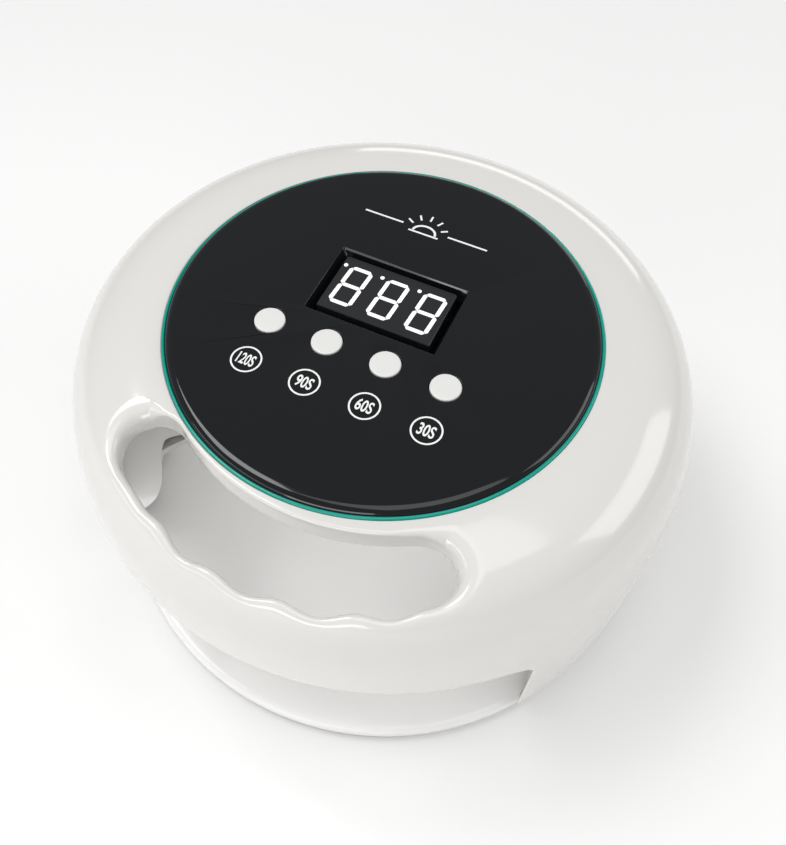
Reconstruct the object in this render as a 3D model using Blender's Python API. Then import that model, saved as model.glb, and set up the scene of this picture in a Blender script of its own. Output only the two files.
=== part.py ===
"""Round lamp that hardens light-curing gel: a domed housing over a hand space, with a carrying grip at the front.

The desk is z = 0, the user sits on the -Y side, and +X is the user's right. Sizes are in millimetres until they
reach a mesh. A place on the dome is given as a radius and a bearing: the angle from the front, towards +X.
"""
import math

import bmesh
import bpy
from mathutils import Matrix, Vector

MM = 0.001

# Housing
BODY_WIDTH = 193.2
DEPTH_RATIO = 0.975          # front to back over side to side, at the widest level
HOUSING_HEIGHT = 105.0       # desk to the rim round the control panel
WALL = 2.4
GAP = 0.3                    # between neighbouring pieces
WAIST_HEIGHT = 50.0          # level of the widest girth
CREST_DIAMETER = 100.0       # the crown is flat inside this circle
FOOT_DRAW_IN = 2.4           # the girth at the bottom edge, in from the widest
BASE_TOP = 6.5
BASE_SKIRT = 1.5             # height of the base plate's lower edge

# Hand opening at the front
MOUTH_WIDTH = 151.0
MOUTH_TOP = 57.0
MOUTH_CORNER = 8.0

# Finger slot behind the grip
GRIP_THICKNESS = 9.4
LIP_WIDTH = 3.1              # from the accent ring out to the slot
SLOT_HALF_ANGLE = 39.0
SLOT_SKEW = 0.05             # the slot's inner edge draws away from the ring by this much per degree
DENT_DEPTH = 0.9
DENT_PITCH = 12.7            # degrees between finger dents
FLARE = 4.0                  # rounding of the slot's edge

# Control panel
PANEL_DIAMETER = 127.0       # over the accent ring
RING_WIDTH = 1.6
PANEL_PROUD = 1.8
PANEL_THICK = 4.1
CONTROL_SHIFT = -1.9         # display and keys sit slightly left of the middle
DISPLAY_SIZE = (36.0, 21.0)
RECESS_SIZE = (41.5, 26.0)   # bevelled opening round the display, at the panel's face
DISPLAY_SHIFT = -0.5         # from the keys' middle to the display's
DISPLAY_Y = 7.1
DISPLAY_SUNK = 0.4           # below the panel's face
DISPLAY_CLEARANCE = 0.7      # at the foot of the bevel
KEY_DIAMETER = 9.0
KEY_PITCH = 18.3
KEY_Y = -14.8
KEY_PROUD = 0.4
KEY_TRAVEL = 0.6

# Inside
LINER_INSET = 9.6            # from the housing's widest radius to the liner's outer face
LINER_WALL = 2.0
CEILING_DROP = 25.0          # from the rim down to the top of the liner's ceiling
BOARD_THICK = 1.6
LED_DIAMETER = 5.4
SCREW_BEARINGS = (-65, 65, -135, 135)
MAGNET_BEARINGS = (-110, 110, 180)
JACK_SIZE = (11.0, 12.5, 9.0)

# Sizes that follow
BODY_R = BODY_WIDTH / 2
PANEL_R = PANEL_DIAMETER / 2
CREST_R = CREST_DIAMETER / 2
WAIST_Z = WAIST_HEIGHT
FOOT_R = BODY_R - FOOT_DRAW_IN
SHELL_BOTTOM = BASE_TOP + GAP
SEAT_Z = HOUSING_HEIGHT - 2.7
PANEL_TOP = HOUSING_HEIGHT + PANEL_PROUD
PANEL_BOTTOM = PANEL_TOP - PANEL_THICK
SLOT_IN = PANEL_R + LIP_WIDTH
SLOT_OUT = BODY_R - GRIP_THICKNESS
LINER_R = BODY_R - LINER_INSET
CEILING_Z = HOUSING_HEIGHT - CEILING_DROP
CEILING_R = PANEL_R - 16.0
BOARD_TOP = HOUSING_HEIGHT - 10.4
KEY_X = [CONTROL_SHIFT + KEY_PITCH * (i - 1.5) for i in range(4)]


# ---------------------------------------------------------------- small helpers
def clear_scene():
    for obj in list(bpy.data.objects):
        bpy.data.objects.remove(obj, do_unlink=True)


def material(name, colour, roughness, metallic=0.0):
    mat = bpy.data.materials.new(name)
    mat.use_nodes = True
    shader = mat.node_tree.nodes["Principled BSDF"]
    shader.inputs["Base Color"].default_value = (*colour, 1.0)
    shader.inputs["Roughness"].default_value = roughness
    shader.inputs["Metallic"].default_value = metallic
    return mat


def finish(name, bm, mat=None, smooth=True):
    """Close a bmesh into a named object; without a material it is a hidden helper for a Boolean."""
    bmesh.ops.remove_doubles(bm, verts=bm.verts, dist=1e-7)
    bmesh.ops.recalc_face_normals(bm, faces=bm.faces)
    mesh = bpy.data.meshes.new(name)
    bm.to_mesh(mesh)
    bm.free()
    obj = bpy.data.objects.new(name, mesh)
    bpy.context.scene.collection.objects.link(obj)
    if mat is None:
        obj.hide_render = True
        obj.display_type = "WIRE"
    else:
        mesh.materials.append(mat)
        if smooth:
            mesh.shade_smooth()
            mesh.set_sharp_from_angle(angle=math.radians(35))
    return obj


def combine(obj, helper, operation):
    mod = obj.modifiers.new(helper.name, "BOOLEAN")
    mod.operation = operation
    mod.solver = "EXACT"
    mod.object = helper
    return obj


def cut(obj, helper):
    return combine(obj, helper, "DIFFERENCE")


def join(obj, helper):
    return combine(obj, helper, "UNION")


def depth_ratio(r):
    """The dome is a circle at the ring and an oval at its widest; this is the oval's share at radius r."""
    t = min(max((r - PANEL_R) / (BODY_R - PANEL_R), 0.0), 1.0)
    return 1.0 - (1.0 - DEPTH_RATIO) * t


def place(r, bearing, z):
    a = math.radians(bearing)
    return Vector((r * math.sin(a), -r * math.cos(a) * depth_ratio(r), z)) * MM


def lathe(name, profile, mat=None, centre=(0.0, 0.0), steps=60, oval=True):
    """Turn a closed outline of (radius, height) points about a vertical axis."""
    bm = bmesh.new()
    verts = [bm.verts.new((r * MM, 0.0, z * MM)) for r, z in profile]
    for a, b in zip(verts, verts[1:]):
        bm.edges.new((a, b))
    if profile[0][0] > 0:
        bm.edges.new((verts[-1], verts[0]))
    bmesh.ops.spin(bm, geom=bm.verts[:] + bm.edges[:], cent=(0, 0, 0), axis=(0, 0, 1),
                   angle=math.tau, steps=steps, use_merge=True)
    bmesh.ops.remove_doubles(bm, verts=bm.verts, dist=1e-6)
    for v in bm.verts:
        if oval:
            v.co.y *= depth_ratio(math.hypot(v.co.x, v.co.y) / MM)
        v.co.x += centre[0] * MM
        v.co.y += centre[1] * MM
    return finish(name, bm, mat)


def sweep(name, sections, mat=None, ring=False):
    """Skin a run of equal outlines, given as lists of points in metres; ring joins the last to the first."""
    bm = bmesh.new()
    loops = [[bm.verts.new(p) for p in section] for section in sections]
    pairs = list(zip(loops, loops[1:])) + ([(loops[-1], loops[0])] if ring else [])
    for low, high in pairs:
        for i in range(len(low)):
            j = (i + 1) % len(low)
            bm.faces.new((low[i], low[j], high[j], high[i]))
    if not ring:
        bm.faces.new(loops[0])
        bm.faces.new(loops[-1])
    return finish(name, bm, mat)


def arc_bar(name, outline, start, end, steps, mat=None, shift=None):
    """Carry an outline of (radius, height) points round the dome between two bearings."""
    sections = []
    for i in range(steps + 1):
        bearing = start + (end - start) * i / steps
        offset = shift(bearing) if shift else 0.0
        sections.append([place(r + offset * k, bearing, z) for r, z, k in outline])
    return sweep(name, sections, mat)


def block(name, low, high, mat=None, turn=0.0, bevel=0.0):
    """A box between two corners, turned about the vertical axis by a bearing."""
    bm = bmesh.new()
    bmesh.ops.create_cube(bm, size=1.0)
    size = Vector([(b - a) * MM for a, b in zip(low, high)])
    middle = Vector([(a + b) / 2 * MM for a, b in zip(low, high)])
    bmesh.ops.scale(bm, vec=size, verts=bm.verts)
    bmesh.ops.translate(bm, vec=middle, verts=bm.verts)
    if bevel:
        bmesh.ops.bevel(bm, geom=bm.edges[:], offset=bevel * MM, segments=1, affect="EDGES")
    bmesh.ops.rotate(bm, cent=(0, 0, 0), matrix=Matrix.Rotation(math.radians(turn), 3, "Z"), verts=bm.verts)
    return finish(name, bm, mat, smooth=False)


def rod(name, radius, low, high, mat=None, sides=12, tip=None):
    """A round bar between two points in millimetres; tip is the radius at the far end."""
    start, end = Vector(low) * MM, Vector(high) * MM
    bm = bmesh.new()
    bmesh.ops.create_cone(bm, cap_ends=True, segments=sides, radius1=radius * MM,
                          radius2=(radius if tip is None else tip) * MM, depth=(end - start).length)
    turn = Vector((0, 0, 1)).rotation_difference(end - start).to_matrix().to_4x4()
    bmesh.ops.transform(bm, matrix=Matrix.Translation((start + end) / 2) @ turn, verts=bm.verts)
    return finish(name, bm, mat)


def prism(name, outline, low, high, mat=None, along="Z"):
    """Push a flat outline straight along Z, or along Y for an outline of (x, z) points."""
    bm = bmesh.new()
    ends = []
    for level in (low, high):
        pts = [(a, b, level) if along == "Z" else (a, level, b) for a, b in outline]
        ends.append([bm.verts.new(Vector(p) * MM) for p in pts])
    for i in range(len(outline)):
        j = (i + 1) % len(outline)
        bm.faces.new((ends[0][i], ends[0][j], ends[1][j], ends[1][i]))
    bm.faces.new(ends[0])
    bm.faces.new(ends[1])
    return finish(name, bm, mat)


def wire(name, points, radius, mat, sides=6):
    """A cable of one thickness through points in millimetres."""
    path = [Vector(p) for p in points]
    sections = []
    for i, p in enumerate(path):
        along = (path[min(i + 1, len(path) - 1)] - path[max(i - 1, 0)]).normalized()
        side = along.cross(Vector((0.3, 0.2, 1.0))).normalized()
        up = side.cross(along)
        ring = [p + (side * math.cos(a) + up * math.sin(a)) * radius
                for a in (math.tau * k / sides for k in range(sides))]
        sections.append([q * MM for q in ring])
    return sweep(name, sections, mat)


# ---------------------------------------------------------------- dome and slot shapes
def dome_profile(inset, foot, inner_r, steps=10):
    """Outline of the dome from its foot up to inner_r: a gentle swell, then a square-shouldered crown."""
    points = []
    for i in range(4):
        z = foot + (WAIST_Z - foot) * i / 4
        u = (WAIST_Z - z) / WAIST_Z
        points.append((BODY_R - inset - (BODY_R - FOOT_R) * u * u, z))
    for i in range(steps + 1):
        t = math.radians(90 * (i / steps) ** 1.15)
        r = CREST_R + (BODY_R - inset - CREST_R) * math.cos(t) ** 0.5
        z = WAIST_Z + (HOUSING_HEIGHT - inset - WAIST_Z) * math.sin(t) ** 0.5
        if r <= inner_r:
            break
        points.append((r, z))
    points.append((inner_r, dome_height(inner_r, inset)))
    return points


def dome_height(r, inset=0.0):
    u = min(max((r - CREST_R) / (BODY_R - inset - CREST_R), 0.0), 1.0)
    return WAIST_Z + (HOUSING_HEIGHT - inset - WAIST_Z) * (1 - u ** 4) ** 0.25


def dome_radius(z, inset=0.0):
    if z < WAIST_Z:
        u = (WAIST_Z - z) / WAIST_Z
        return BODY_R - inset - (BODY_R - FOOT_R) * u * u
    u = min((z - WAIST_Z) / (HOUSING_HEIGHT - inset - WAIST_Z), 1.0)
    return CREST_R + (BODY_R - inset - CREST_R) * (1 - u ** 4) ** 0.25


def finger_dents(bearing):
    """Depth of the wavy grip edge: four rounded dents, fading out towards the ends."""
    middle = 7.2
    away = abs(bearing - middle) - 2.05 * DENT_PITCH
    fade = 1.0 if away < 0 else max(0.0, 1.0 - away / (0.5 * DENT_PITCH))
    return DENT_DEPTH * fade * math.cos(math.tau * (bearing - middle) / DENT_PITCH + math.pi)


def slot_outline(grow, inner_grow):
    """Slot edge as (radius, bearing) points; grow widens the grip side and the ends, inner_grow the ring side."""
    middle = (SLOT_IN + SLOT_OUT) / 2
    half = (SLOT_OUT - SLOT_IN) / 2
    bend = SLOT_HALF_ANGLE - math.degrees(half / middle)
    points = []
    for i in range(13):
        b = -bend + 2 * bend * i / 12
        points.append((SLOT_IN + SLOT_SKEW * b - inner_grow, b))
    points += slot_end(middle, half, bend, grow, inner_grow, 1)
    for i in range(33):
        b = bend - 2 * bend * i / 32
        points.append((SLOT_OUT + finger_dents(b) + grow, b))
    points += slot_end(middle, half, bend, grow, inner_grow, -1)
    return points


def slot_end(middle, half, bend, grow, inner_grow, side):
    """Half-round end of the slot, from the ring side to the grip side when side is +1, and back when -1."""
    points = []
    for i in range(1, 6):
        t = math.pi * i / 6 if side > 0 else math.pi * (6 - i) / 6
        share = (1 - math.cos(t)) / 2
        reach = half + inner_grow * (1 - share) + grow * share
        skew = SLOT_SKEW * side * bend * (1 - share)
        r = middle - math.cos(t) * reach + skew
        b = bend + math.degrees(math.sin(t) * (half + grow) / middle)
        points.append((r, side * b))
    return points


def slot_solid(name, levels):
    """Skin the slot edge at several depths under the dome; each level is (depth, grow, inner_grow)."""
    sections = []
    for depth, grow, inner_grow in levels:
        sections.append([place(r, b, dome_height(r) - depth) for r, b in slot_outline(grow, inner_grow)])
    return sweep(name, sections)


def flare(depth):
    """Quarter-round opening of the slot towards the surface."""
    if depth >= FLARE:
        return 0.0
    return FLARE - math.sqrt(FLARE ** 2 - (FLARE - depth) ** 2)


def slot_cutter():
    levels = [(45.0, 0.0, 0.0)]
    for depth in (FLARE, 2.0, 1.0, 0.4, 0.0):
        levels.append((depth, flare(depth), 0.2 * flare(depth)))
    levels.append((-8.0, FLARE, 0.2 * FLARE))
    return slot_solid("slot_cutter", levels)


def slot_rim():
    return slot_solid("slot_rim", [(7.0, 2.2, 1.0), (1.0, 2.2, 1.0)])


def mouth_outline(grow=0.0):
    half, top, corner = MOUTH_WIDTH / 2 + grow, MOUTH_TOP + grow, MOUTH_CORNER
    points = [(-half, -5.0), (half, -5.0)]
    for i in range(5):
        t = math.radians(90 * i / 4)
        points.append((half - corner + corner * math.cos(t), top - corner + corner * math.sin(t)))
    return points + [(-x, z) for x, z in reversed(points[2:])]


# ---------------------------------------------------------------- outer pieces
def top_shell(mat):
    seat_r = PANEL_R + GAP
    outer = dome_profile(0.0, SHELL_BOTTOM, seat_r)
    inner = dome_profile(WALL, SHELL_BOTTOM, seat_r + WALL)
    seat = [(seat_r, SEAT_Z), (PANEL_R - 7.5, SEAT_Z), (PANEL_R - 7.5, SEAT_Z - WALL),
            (seat_r + WALL, SEAT_Z - WALL)]
    shell = lathe("top_shell", outer + seat + inner[::-1], mat)
    for i, bearing in enumerate(SCREW_BEARINGS):
        r = LINER_R + GAP
        boss = block(f"boss_{i}", (-3, -BODY_R + 3.4, 11.4), (3, -r, 24.0), turn=bearing)
        join(shell, boss)
        cut(shell, rod(f"pilot_{i}", 1.4, screw_spot(bearing, 11.0), screw_spot(bearing, 21.0), sides=8))
    join(shell, slot_rim())
    cut(shell, slot_cutter())
    cut(shell, prism("mouth_cutter", mouth_outline(), -1.3 * BODY_R, -0.35 * BODY_R, along="Y"))
    cut(shell, rod("jack_hole", 4.6, (0, 0.7 * BODY_R, jack_z()), (0, 1.2 * BODY_R, jack_z()), sides=16))
    return shell


def screw_spot(bearing, z):
    p = place(LINER_R + 2.3, bearing, 0) / MM
    return (p.x, p.y, z)


def base_plate(mat):
    rim = FOOT_R - 1.0
    profile = [(0, BASE_TOP), (rim - 1.2, BASE_TOP), (rim - 0.3, BASE_TOP - 0.4), (rim, BASE_TOP - 1.3),
               (rim, BASE_SKIRT), (rim - WALL, BASE_SKIRT), (rim - WALL, BASE_TOP - WALL), (0, BASE_TOP - WALL)]
    plate = lathe("base_plate", profile, mat)
    for i, bearing in enumerate(MAGNET_BEARINGS):
        x, y, _ = magnet_spot(bearing)
        cut(plate, rod(f"strike_pocket_{i}", 3.4, (x, y, BASE_TOP - 1.4), (x, y, BASE_TOP + 2), sides=16))
    return plate


def magnet_spot(bearing):
    p = place(LINER_R + 1.2, bearing, 0) / MM
    return (p.x, p.y, 0.0)


def feet(mat):
    for name, bearing in (("foot_front_right", 45), ("foot_front_left", -45),
                          ("foot_back_right", 135), ("foot_back_left", -135)):
        p = place(0.83 * BODY_R, bearing, 0) / MM
        top = BASE_TOP - WALL - GAP
        lathe(name, [(0, 0), (5.2, 0), (6, 0.8), (6, top), (0, top)], mat, centre=(p.x, p.y), steps=20, oval=False)


def grip_cover(mat):
    """Inner half of the grip, closing the hollow behind the shell from the slot down to the hand opening."""
    top, low = dome_height(SLOT_OUT + 2.2 + DENT_DEPTH) - 7.4, MOUTH_TOP + 1.2
    inner = [(SLOT_OUT + 0.2, top, 1.0), (SLOT_OUT - 1.4, top - 9, 0.6), (SLOT_OUT - 1.8, (top + low) / 2, 0.3),
             (SLOT_OUT - 0.6, low + 9, 0.0), (SLOT_OUT + 3.4, low + 2, 0.0), (BODY_R - WALL - 0.9, low, 0.0)]
    outer = [(BODY_R - WALL - 0.9, low + 2, 0.0), (SLOT_OUT + 4.3, low + 4, 0.0), (SLOT_OUT + 1.4, low + 10.2, 0.0),
             (SLOT_OUT + 0.2, (top + low) / 2, 0.3), (SLOT_OUT + 0.6, top - 9, 0.6), (SLOT_OUT + 2.2, top, 1.0)]
    reach = 42.0
    arc_bar("grip_cover", inner + outer, -reach, reach, 40, mat, shift=finger_dents)


# ---------------------------------------------------------------- liner
def liner_height(r):
    """Top face of the liner's bowl at radius r."""
    u = min(max((r - CEILING_R) / (LINER_R - CEILING_R), 0.0), 1.0)
    return WAIST_Z + (CEILING_Z - WAIST_Z) * (1 - u ** 2.5) ** 0.4


def liner_curve(inset):
    points = [(0.0, CEILING_Z - inset)]
    for i in range(8):
        t = math.radians(90 * (1 - i / 7))
        r = CEILING_R + (LINER_R - inset - CEILING_R) * math.cos(t) ** 0.8
        points.append((r, WAIST_Z + (CEILING_Z - inset - WAIST_Z) * math.sin(t) ** 0.8))
    return points


def inner_liner(mat):
    foot = BASE_TOP + 2.6
    flange = [(LINER_R, foot + 2), (LINER_R + 4.3, foot + 2), (LINER_R + 4.3, foot), (LINER_R - LINER_WALL, foot)]
    liner = lathe("inner_liner", liner_curve(0.0) + flange + liner_curve(LINER_WALL)[::-1], mat, steps=52)
    cut(liner, prism("front_sector", sector_outline(43, CEILING_R + 1, 1.45 * BODY_R), -5, HOUSING_HEIGHT))
    cut(liner, prism("liner_mouth", mouth_outline(0.3), -1.3 * BODY_R, -0.35 * BODY_R, along="Y"))
    join(liner, ramp())
    for side in (-1, 1):
        join(liner, cheek(side))
        join(liner, jamb(side))
    for i, (x, y) in enumerate(driver_corners(3.5)):
        r = math.hypot(x, y)
        join(liner, rod(f"post_{i}", 2.0, (x, y, liner_height(r) - 1.2), (x, y, driver_z() - GAP), sides=8))
    for i, (x, y) in enumerate(ceiling_leds()):
        cut(liner, rod(f"led_hole_{i}", LED_DIAMETER / 2 + 0.4, (x, y, CEILING_Z - 6), (x, y, CEILING_Z + 4), sides=10))
    for name, turn in SIDE_BOARDS:
        for i, x in enumerate(SIDE_LED_X):
            hole = rod(f"{name}_hole_{i}", LED_DIAMETER / 2 + 0.4, (x, -LINER_R * 0.8, SIDE_LED_Z),
                       (x, -LINER_R * 1.03, SIDE_LED_Z), sides=8)
            cut(liner, turned(hole, turn))
    cut(liner, rod("sensor_hole", 2.6, (0, sensor_y(), CEILING_Z - 6), (0, sensor_y(), CEILING_Z + 4), sides=10))
    for i, bearing in enumerate(SCREW_BEARINGS):
        cut(liner, rod(f"screw_hole_{i}", 1.5, screw_spot(bearing, foot - 2), screw_spot(bearing, foot + 4), sides=8))
    return liner


def sector_outline(reach, near, far):
    """Plan outline of a ring sector facing the front, between two radii."""
    bearings = [reach * (i / 10 - 1) for i in range(21)]
    points = [place(far, b, 0) / MM for b in bearings] + [place(near, b, 0) / MM for b in reversed(bearings)]
    return [(p.x, p.y) for p in points]


def ramp():
    """Sloping front of the ceiling, rising to the slot's inner edge."""
    r0, r1, z1 = CEILING_R - 1.5, SLOT_IN - 3.2, SEAT_Z - WALL - 0.5
    low, high = CEILING_Z - LINER_WALL + 0.35, CEILING_Z - 0.35
    outline = [(r0, low, 0), (r1, z1 - 3.2, 0), (r1, z1, 0), (r1 - 2, z1, 0), (r1 - 2, z1 - 2.4, 0), (r0, high, 0)]
    return arc_bar("ramp", outline, -44, 44, 24)


def cheek(side):
    """Upright wall beside the slot, from the ramp out to the dome and down to the bowl."""
    top = [(r, dome_height(r, WALL) - 0.9) for r in (0.72 * BODY_R, 0.8 * BODY_R, 0.87 * BODY_R)]
    top += [(dome_radius(z, WALL) - 0.9, z) for z in (0.86 * HOUSING_HEIGHT, 0.72 * HOUSING_HEIGHT, 0.56 * HOUSING_HEIGHT)]
    start = SLOT_IN - 3.2
    low = [(r, liner_height(r) - 1.0) for r in (0.87 * BODY_R, 0.8 * BODY_R, 0.7 * BODY_R, 0.6 * BODY_R)]
    outline = [(CEILING_R - 1, CEILING_Z - 1), (start - 1, SEAT_Z - WALL - 1.0), (start + 2.2, SEAT_Z - WALL - 1.0)]
    outline += top + [(LINER_R - 1, MOUTH_TOP + 4)] + low
    sections = [[place(r, side * b, z) for r, z in outline] for b in (42.6, 44.6)]
    return sweep(f"cheek_{'right' if side > 0 else 'left'}", sections)


def jamb(side):
    """Side of the hand opening, closing the space between liner and shell."""
    x = MOUTH_WIDTH / 2 + 0.1
    y_in = -math.sqrt((LINER_R - LINER_WALL - 0.2) ** 2 - x ** 2) * DEPTH_RATIO
    r_out = dome_radius(12, WALL) - 0.9
    y_out = -math.sqrt(r_out ** 2 - (x + 1.8) ** 2) * DEPTH_RATIO
    low, high = sorted((side * x, side * (x + 1.8)))
    return block(f"jamb_{'right' if side > 0 else 'left'}", (low, y_out, BASE_TOP + 2.6), (high, y_in, MOUTH_TOP - 2))


def turned(helper, bearing):
    """Turn a piece built at the front to another bearing."""
    helper.data.transform(Matrix.Diagonal((1, DEPTH_RATIO, 1, 1)) @ Matrix.Rotation(math.radians(bearing), 4, "Z"))
    return helper


# ---------------------------------------------------------------- panel group
def accent_ring(mat):
    r0, r1, z0, z1 = PANEL_R - RING_WIDTH, PANEL_R, SEAT_Z + GAP, HOUSING_HEIGHT + 0.8
    profile = [(r0, z0), (r1, z0), (r1, z1 - 0.5), (r1 - 0.4, z1), (r0 + 0.2, z1), (r0, z1 - 0.3)]
    lathe("accent_ring", profile, mat, steps=64, oval=False)


def control_panel(mat):
    r, fillet = PANEL_R - RING_WIDTH - GAP, 2.6
    profile = [(0, PANEL_TOP)]
    for i in range(5):
        t = math.radians(90 * (1 - i / 4))
        profile.append((r - fillet + fillet * math.cos(t), PANEL_TOP - fillet + fillet * math.sin(t)))
    panel = lathe("control_panel", profile + [(r, PANEL_BOTTOM), (0, PANEL_BOTTOM)], mat, steps=64, oval=False)
    for i, bearing in enumerate((0, 120, 240)):
        a, reach = math.radians(bearing), PANEL_R - 23
        x, y = reach * math.sin(a), -reach * math.cos(a)
        join(panel, rod(f"panel_post_{i}", 2.6, (x, y, BOARD_TOP + GAP), (x, y, PANEL_BOTTOM + 1), sides=10))
    cut(panel, display_recess())
    for i, x in enumerate(KEY_X):
        hole = rod(f"key_hole_{i}", KEY_DIAMETER / 2 + GAP, (x, KEY_Y, PANEL_BOTTOM - 2), (x, KEY_Y, PANEL_TOP + 2), sides=20)
        cut(panel, hole)
    return panel


def display_recess():
    """Bevelled opening: the recess size at the panel's face, the display with its clearance at the panel's back."""
    sections = []
    for z, share in ((PANEL_BOTTOM - 0.5, -0.12), (PANEL_TOP + 0.5, 1.12)):
        foot = [size + 2 * DISPLAY_CLEARANCE for size in DISPLAY_SIZE]
        w, h = [(low + (top - low) * share) / 2 for low, top in zip(foot, RECESS_SIZE)]
        corners = ((-w, -h), (w, -h), (w, h), (-w, h))
        sections.append([Vector((CONTROL_SHIFT + DISPLAY_SHIFT + x, DISPLAY_Y + y, z)) * MM for x, y in corners])
    return sweep("display_recess", sections)


def display_module(mat):
    x, w, h = CONTROL_SHIFT + DISPLAY_SHIFT, DISPLAY_SIZE[0] / 2, DISPLAY_SIZE[1] / 2
    block("display_module", (x - w, DISPLAY_Y - h, BOARD_TOP + GAP), (x + w, DISPLAY_Y + h, PANEL_TOP - DISPLAY_SUNK), mat)


def keys_and_switches(key_mat, switch_mat):
    r, top = KEY_DIAMETER / 2, PANEL_TOP + KEY_PROUD
    flange = PANEL_BOTTOM - GAP
    for x, name in zip(KEY_X, ("120", "90", "60", "30")):
        switch_top = BOARD_TOP + GAP + 4.5
        profile = [(0, top), (r - 0.5, top), (r, top - 0.4), (r, flange), (r + 1.2, flange), (r + 1.2, flange - 1),
                   (2, flange - 1), (2, switch_top + KEY_TRAVEL + 0.1), (0, switch_top + KEY_TRAVEL + 0.1)]
        lathe(f"key_{name}s", profile, key_mat, centre=(x, KEY_Y), steps=20, oval=False)
        z0 = BOARD_TOP + GAP
        switch = block(f"switch_{name}s", (x - 3, KEY_Y - 3, z0), (x + 3, KEY_Y + 3, z0 + 3.5), switch_mat)
        join(switch, rod(f"plunger_{name}s", 1.7, (x, KEY_Y, z0 + 3), (x, KEY_Y, switch_top), sides=12))


def control_board(mat, buzzer_mat):
    r = PANEL_R - 17.5
    lathe("control_board", [(0, BOARD_TOP), (r, BOARD_TOP), (r, BOARD_TOP - BOARD_THICK), (0, BOARD_TOP - BOARD_THICK)],
          mat, steps=40, oval=False)
    z = BOARD_TOP + GAP
    lathe("buzzer", [(0, z), (4.5, z), (4.5, z + 4.6), (4.1, z + 5), (0, z + 5)], buzzer_mat,
          centre=(CONTROL_SHIFT + 22, DISPLAY_Y + 20), steps=20, oval=False)


# ---------------------------------------------------------------- electronics under the dome
SIDE_BOARDS = (("led_board_left", -90), ("led_board_back", 180), ("led_board_right", 90))
SIDE_LED_X = (-15.0, -5.0, 5.0, 15.0)
SIDE_LED_Z = 30.0


def ceiling_leds():
    """Eight light points in a circle and four near the middle."""
    outer, inner = CEILING_R - 18.0, CEILING_R - 35.0
    spots = [(outer * math.sin(a), outer * math.cos(a)) for a in (math.tau * (i + 0.5) / 8 for i in range(8))]
    return spots + [(inner * math.sin(a), inner * math.cos(a)) for a in (math.tau * i / 4 for i in range(4))]


def led_board_top(mat):
    z, r = CEILING_Z + GAP, CEILING_R - 11.0
    board = lathe("led_board_top", [(0, z + BOARD_THICK), (r, z + BOARD_THICK), (r, z), (0, z)], mat, steps=36, oval=False)
    for i, (x, y) in enumerate(ceiling_leds()):
        join(board, rod(f"top_led_{i}", LED_DIAMETER / 2, (x, y, z + 0.6), (x, y, CEILING_Z - 3.2), sides=10, tip=1.6))


def side_led_boards(mat):
    near = dome_radius(SIDE_LED_Z, WALL) - 5.1
    for name, turn in SIDE_BOARDS:
        low, high = (-22, -near - BOARD_THICK, SIDE_LED_Z - 7), (22, -near, SIDE_LED_Z + 7)
        board = block(name, low, high, mat)
        turned(board, turn)
        for i, x in enumerate(SIDE_LED_X):
            bead = rod(f"{name}_led_{i}", LED_DIAMETER / 2, (x, -near - 0.6, SIDE_LED_Z),
                       (x, -LINER_R + LINER_WALL + 3.0, SIDE_LED_Z), sides=8, tip=1.6)
            join(board, turned(bead, turn))


def driver_z():
    return CEILING_Z + 6.0


def driver_middle():
    return PANEL_R + 0.5


def driver_corners(inset):
    w, h, y = 29.0 - inset, 13.0 - inset, driver_middle()
    return [(-w, y - h), (w, y - h), (w, y + h), (-w, y + h)]


def driver_board(mat):
    z, y = driver_z(), driver_middle()
    board = block("driver_board", (-29, y - 13, z), (29, y + 13, z + BOARD_THICK), mat)
    top = z + BOARD_THICK - 0.3
    join(board, block("choke", (-22, y - 6, top), (-11, y + 5, top + 6.5), bevel=0.8))
    join(board, rod("capacitor_a", 3.0, (-3, y - 2, top), (-3, y - 2, top + 7.5), sides=12))
    join(board, rod("capacitor_b", 3.0, (5, y - 2, top), (5, y - 2, top + 7.5), sides=12))
    join(board, block("controller", (12, y - 5, top), (21, y + 4, top + 1.8)))
    return board


def sensor_y():
    return -(CEILING_R - 5.5)


def hand_sensor(mat):
    y, z = sensor_y(), CEILING_Z + GAP
    profile = [(0, CEILING_Z - 3.0), (1.5, CEILING_Z - 3.0), (2.3, CEILING_Z - 2.2), (2.3, z), (3.6, z), (3.6, z + 3), (0, z + 3)]
    lathe("hand_sensor", profile, mat, centre=(0, y), steps=14, oval=False)


def jack_z():
    return CEILING_Z - 1.5


def dc_jack(mat):
    w, depth, h = JACK_SIZE
    z = jack_z()
    face = dome_radius(z) * DEPTH_RATIO
    wall_in = dome_radius(z + h / 2, WALL) * DEPTH_RATIO - 0.6
    jack = block("dc_jack", (-w / 2, wall_in - depth, z - h / 2), (w / 2, wall_in, z + h / 2), mat)
    join(jack, rod("jack_nose", 4.2, (0, wall_in - 2, z), (0, face - 0.4, z), sides=16))
    cut(jack, rod("jack_bore", 2.9, (0, wall_in - depth + 2.5, z), (0, face + 4, z), sides=16))
    join(jack, rod("jack_pin", 1.0, (0, wall_in - depth + 1.5, z), (0, face - 1.5, z), sides=10))
    return jack


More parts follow.
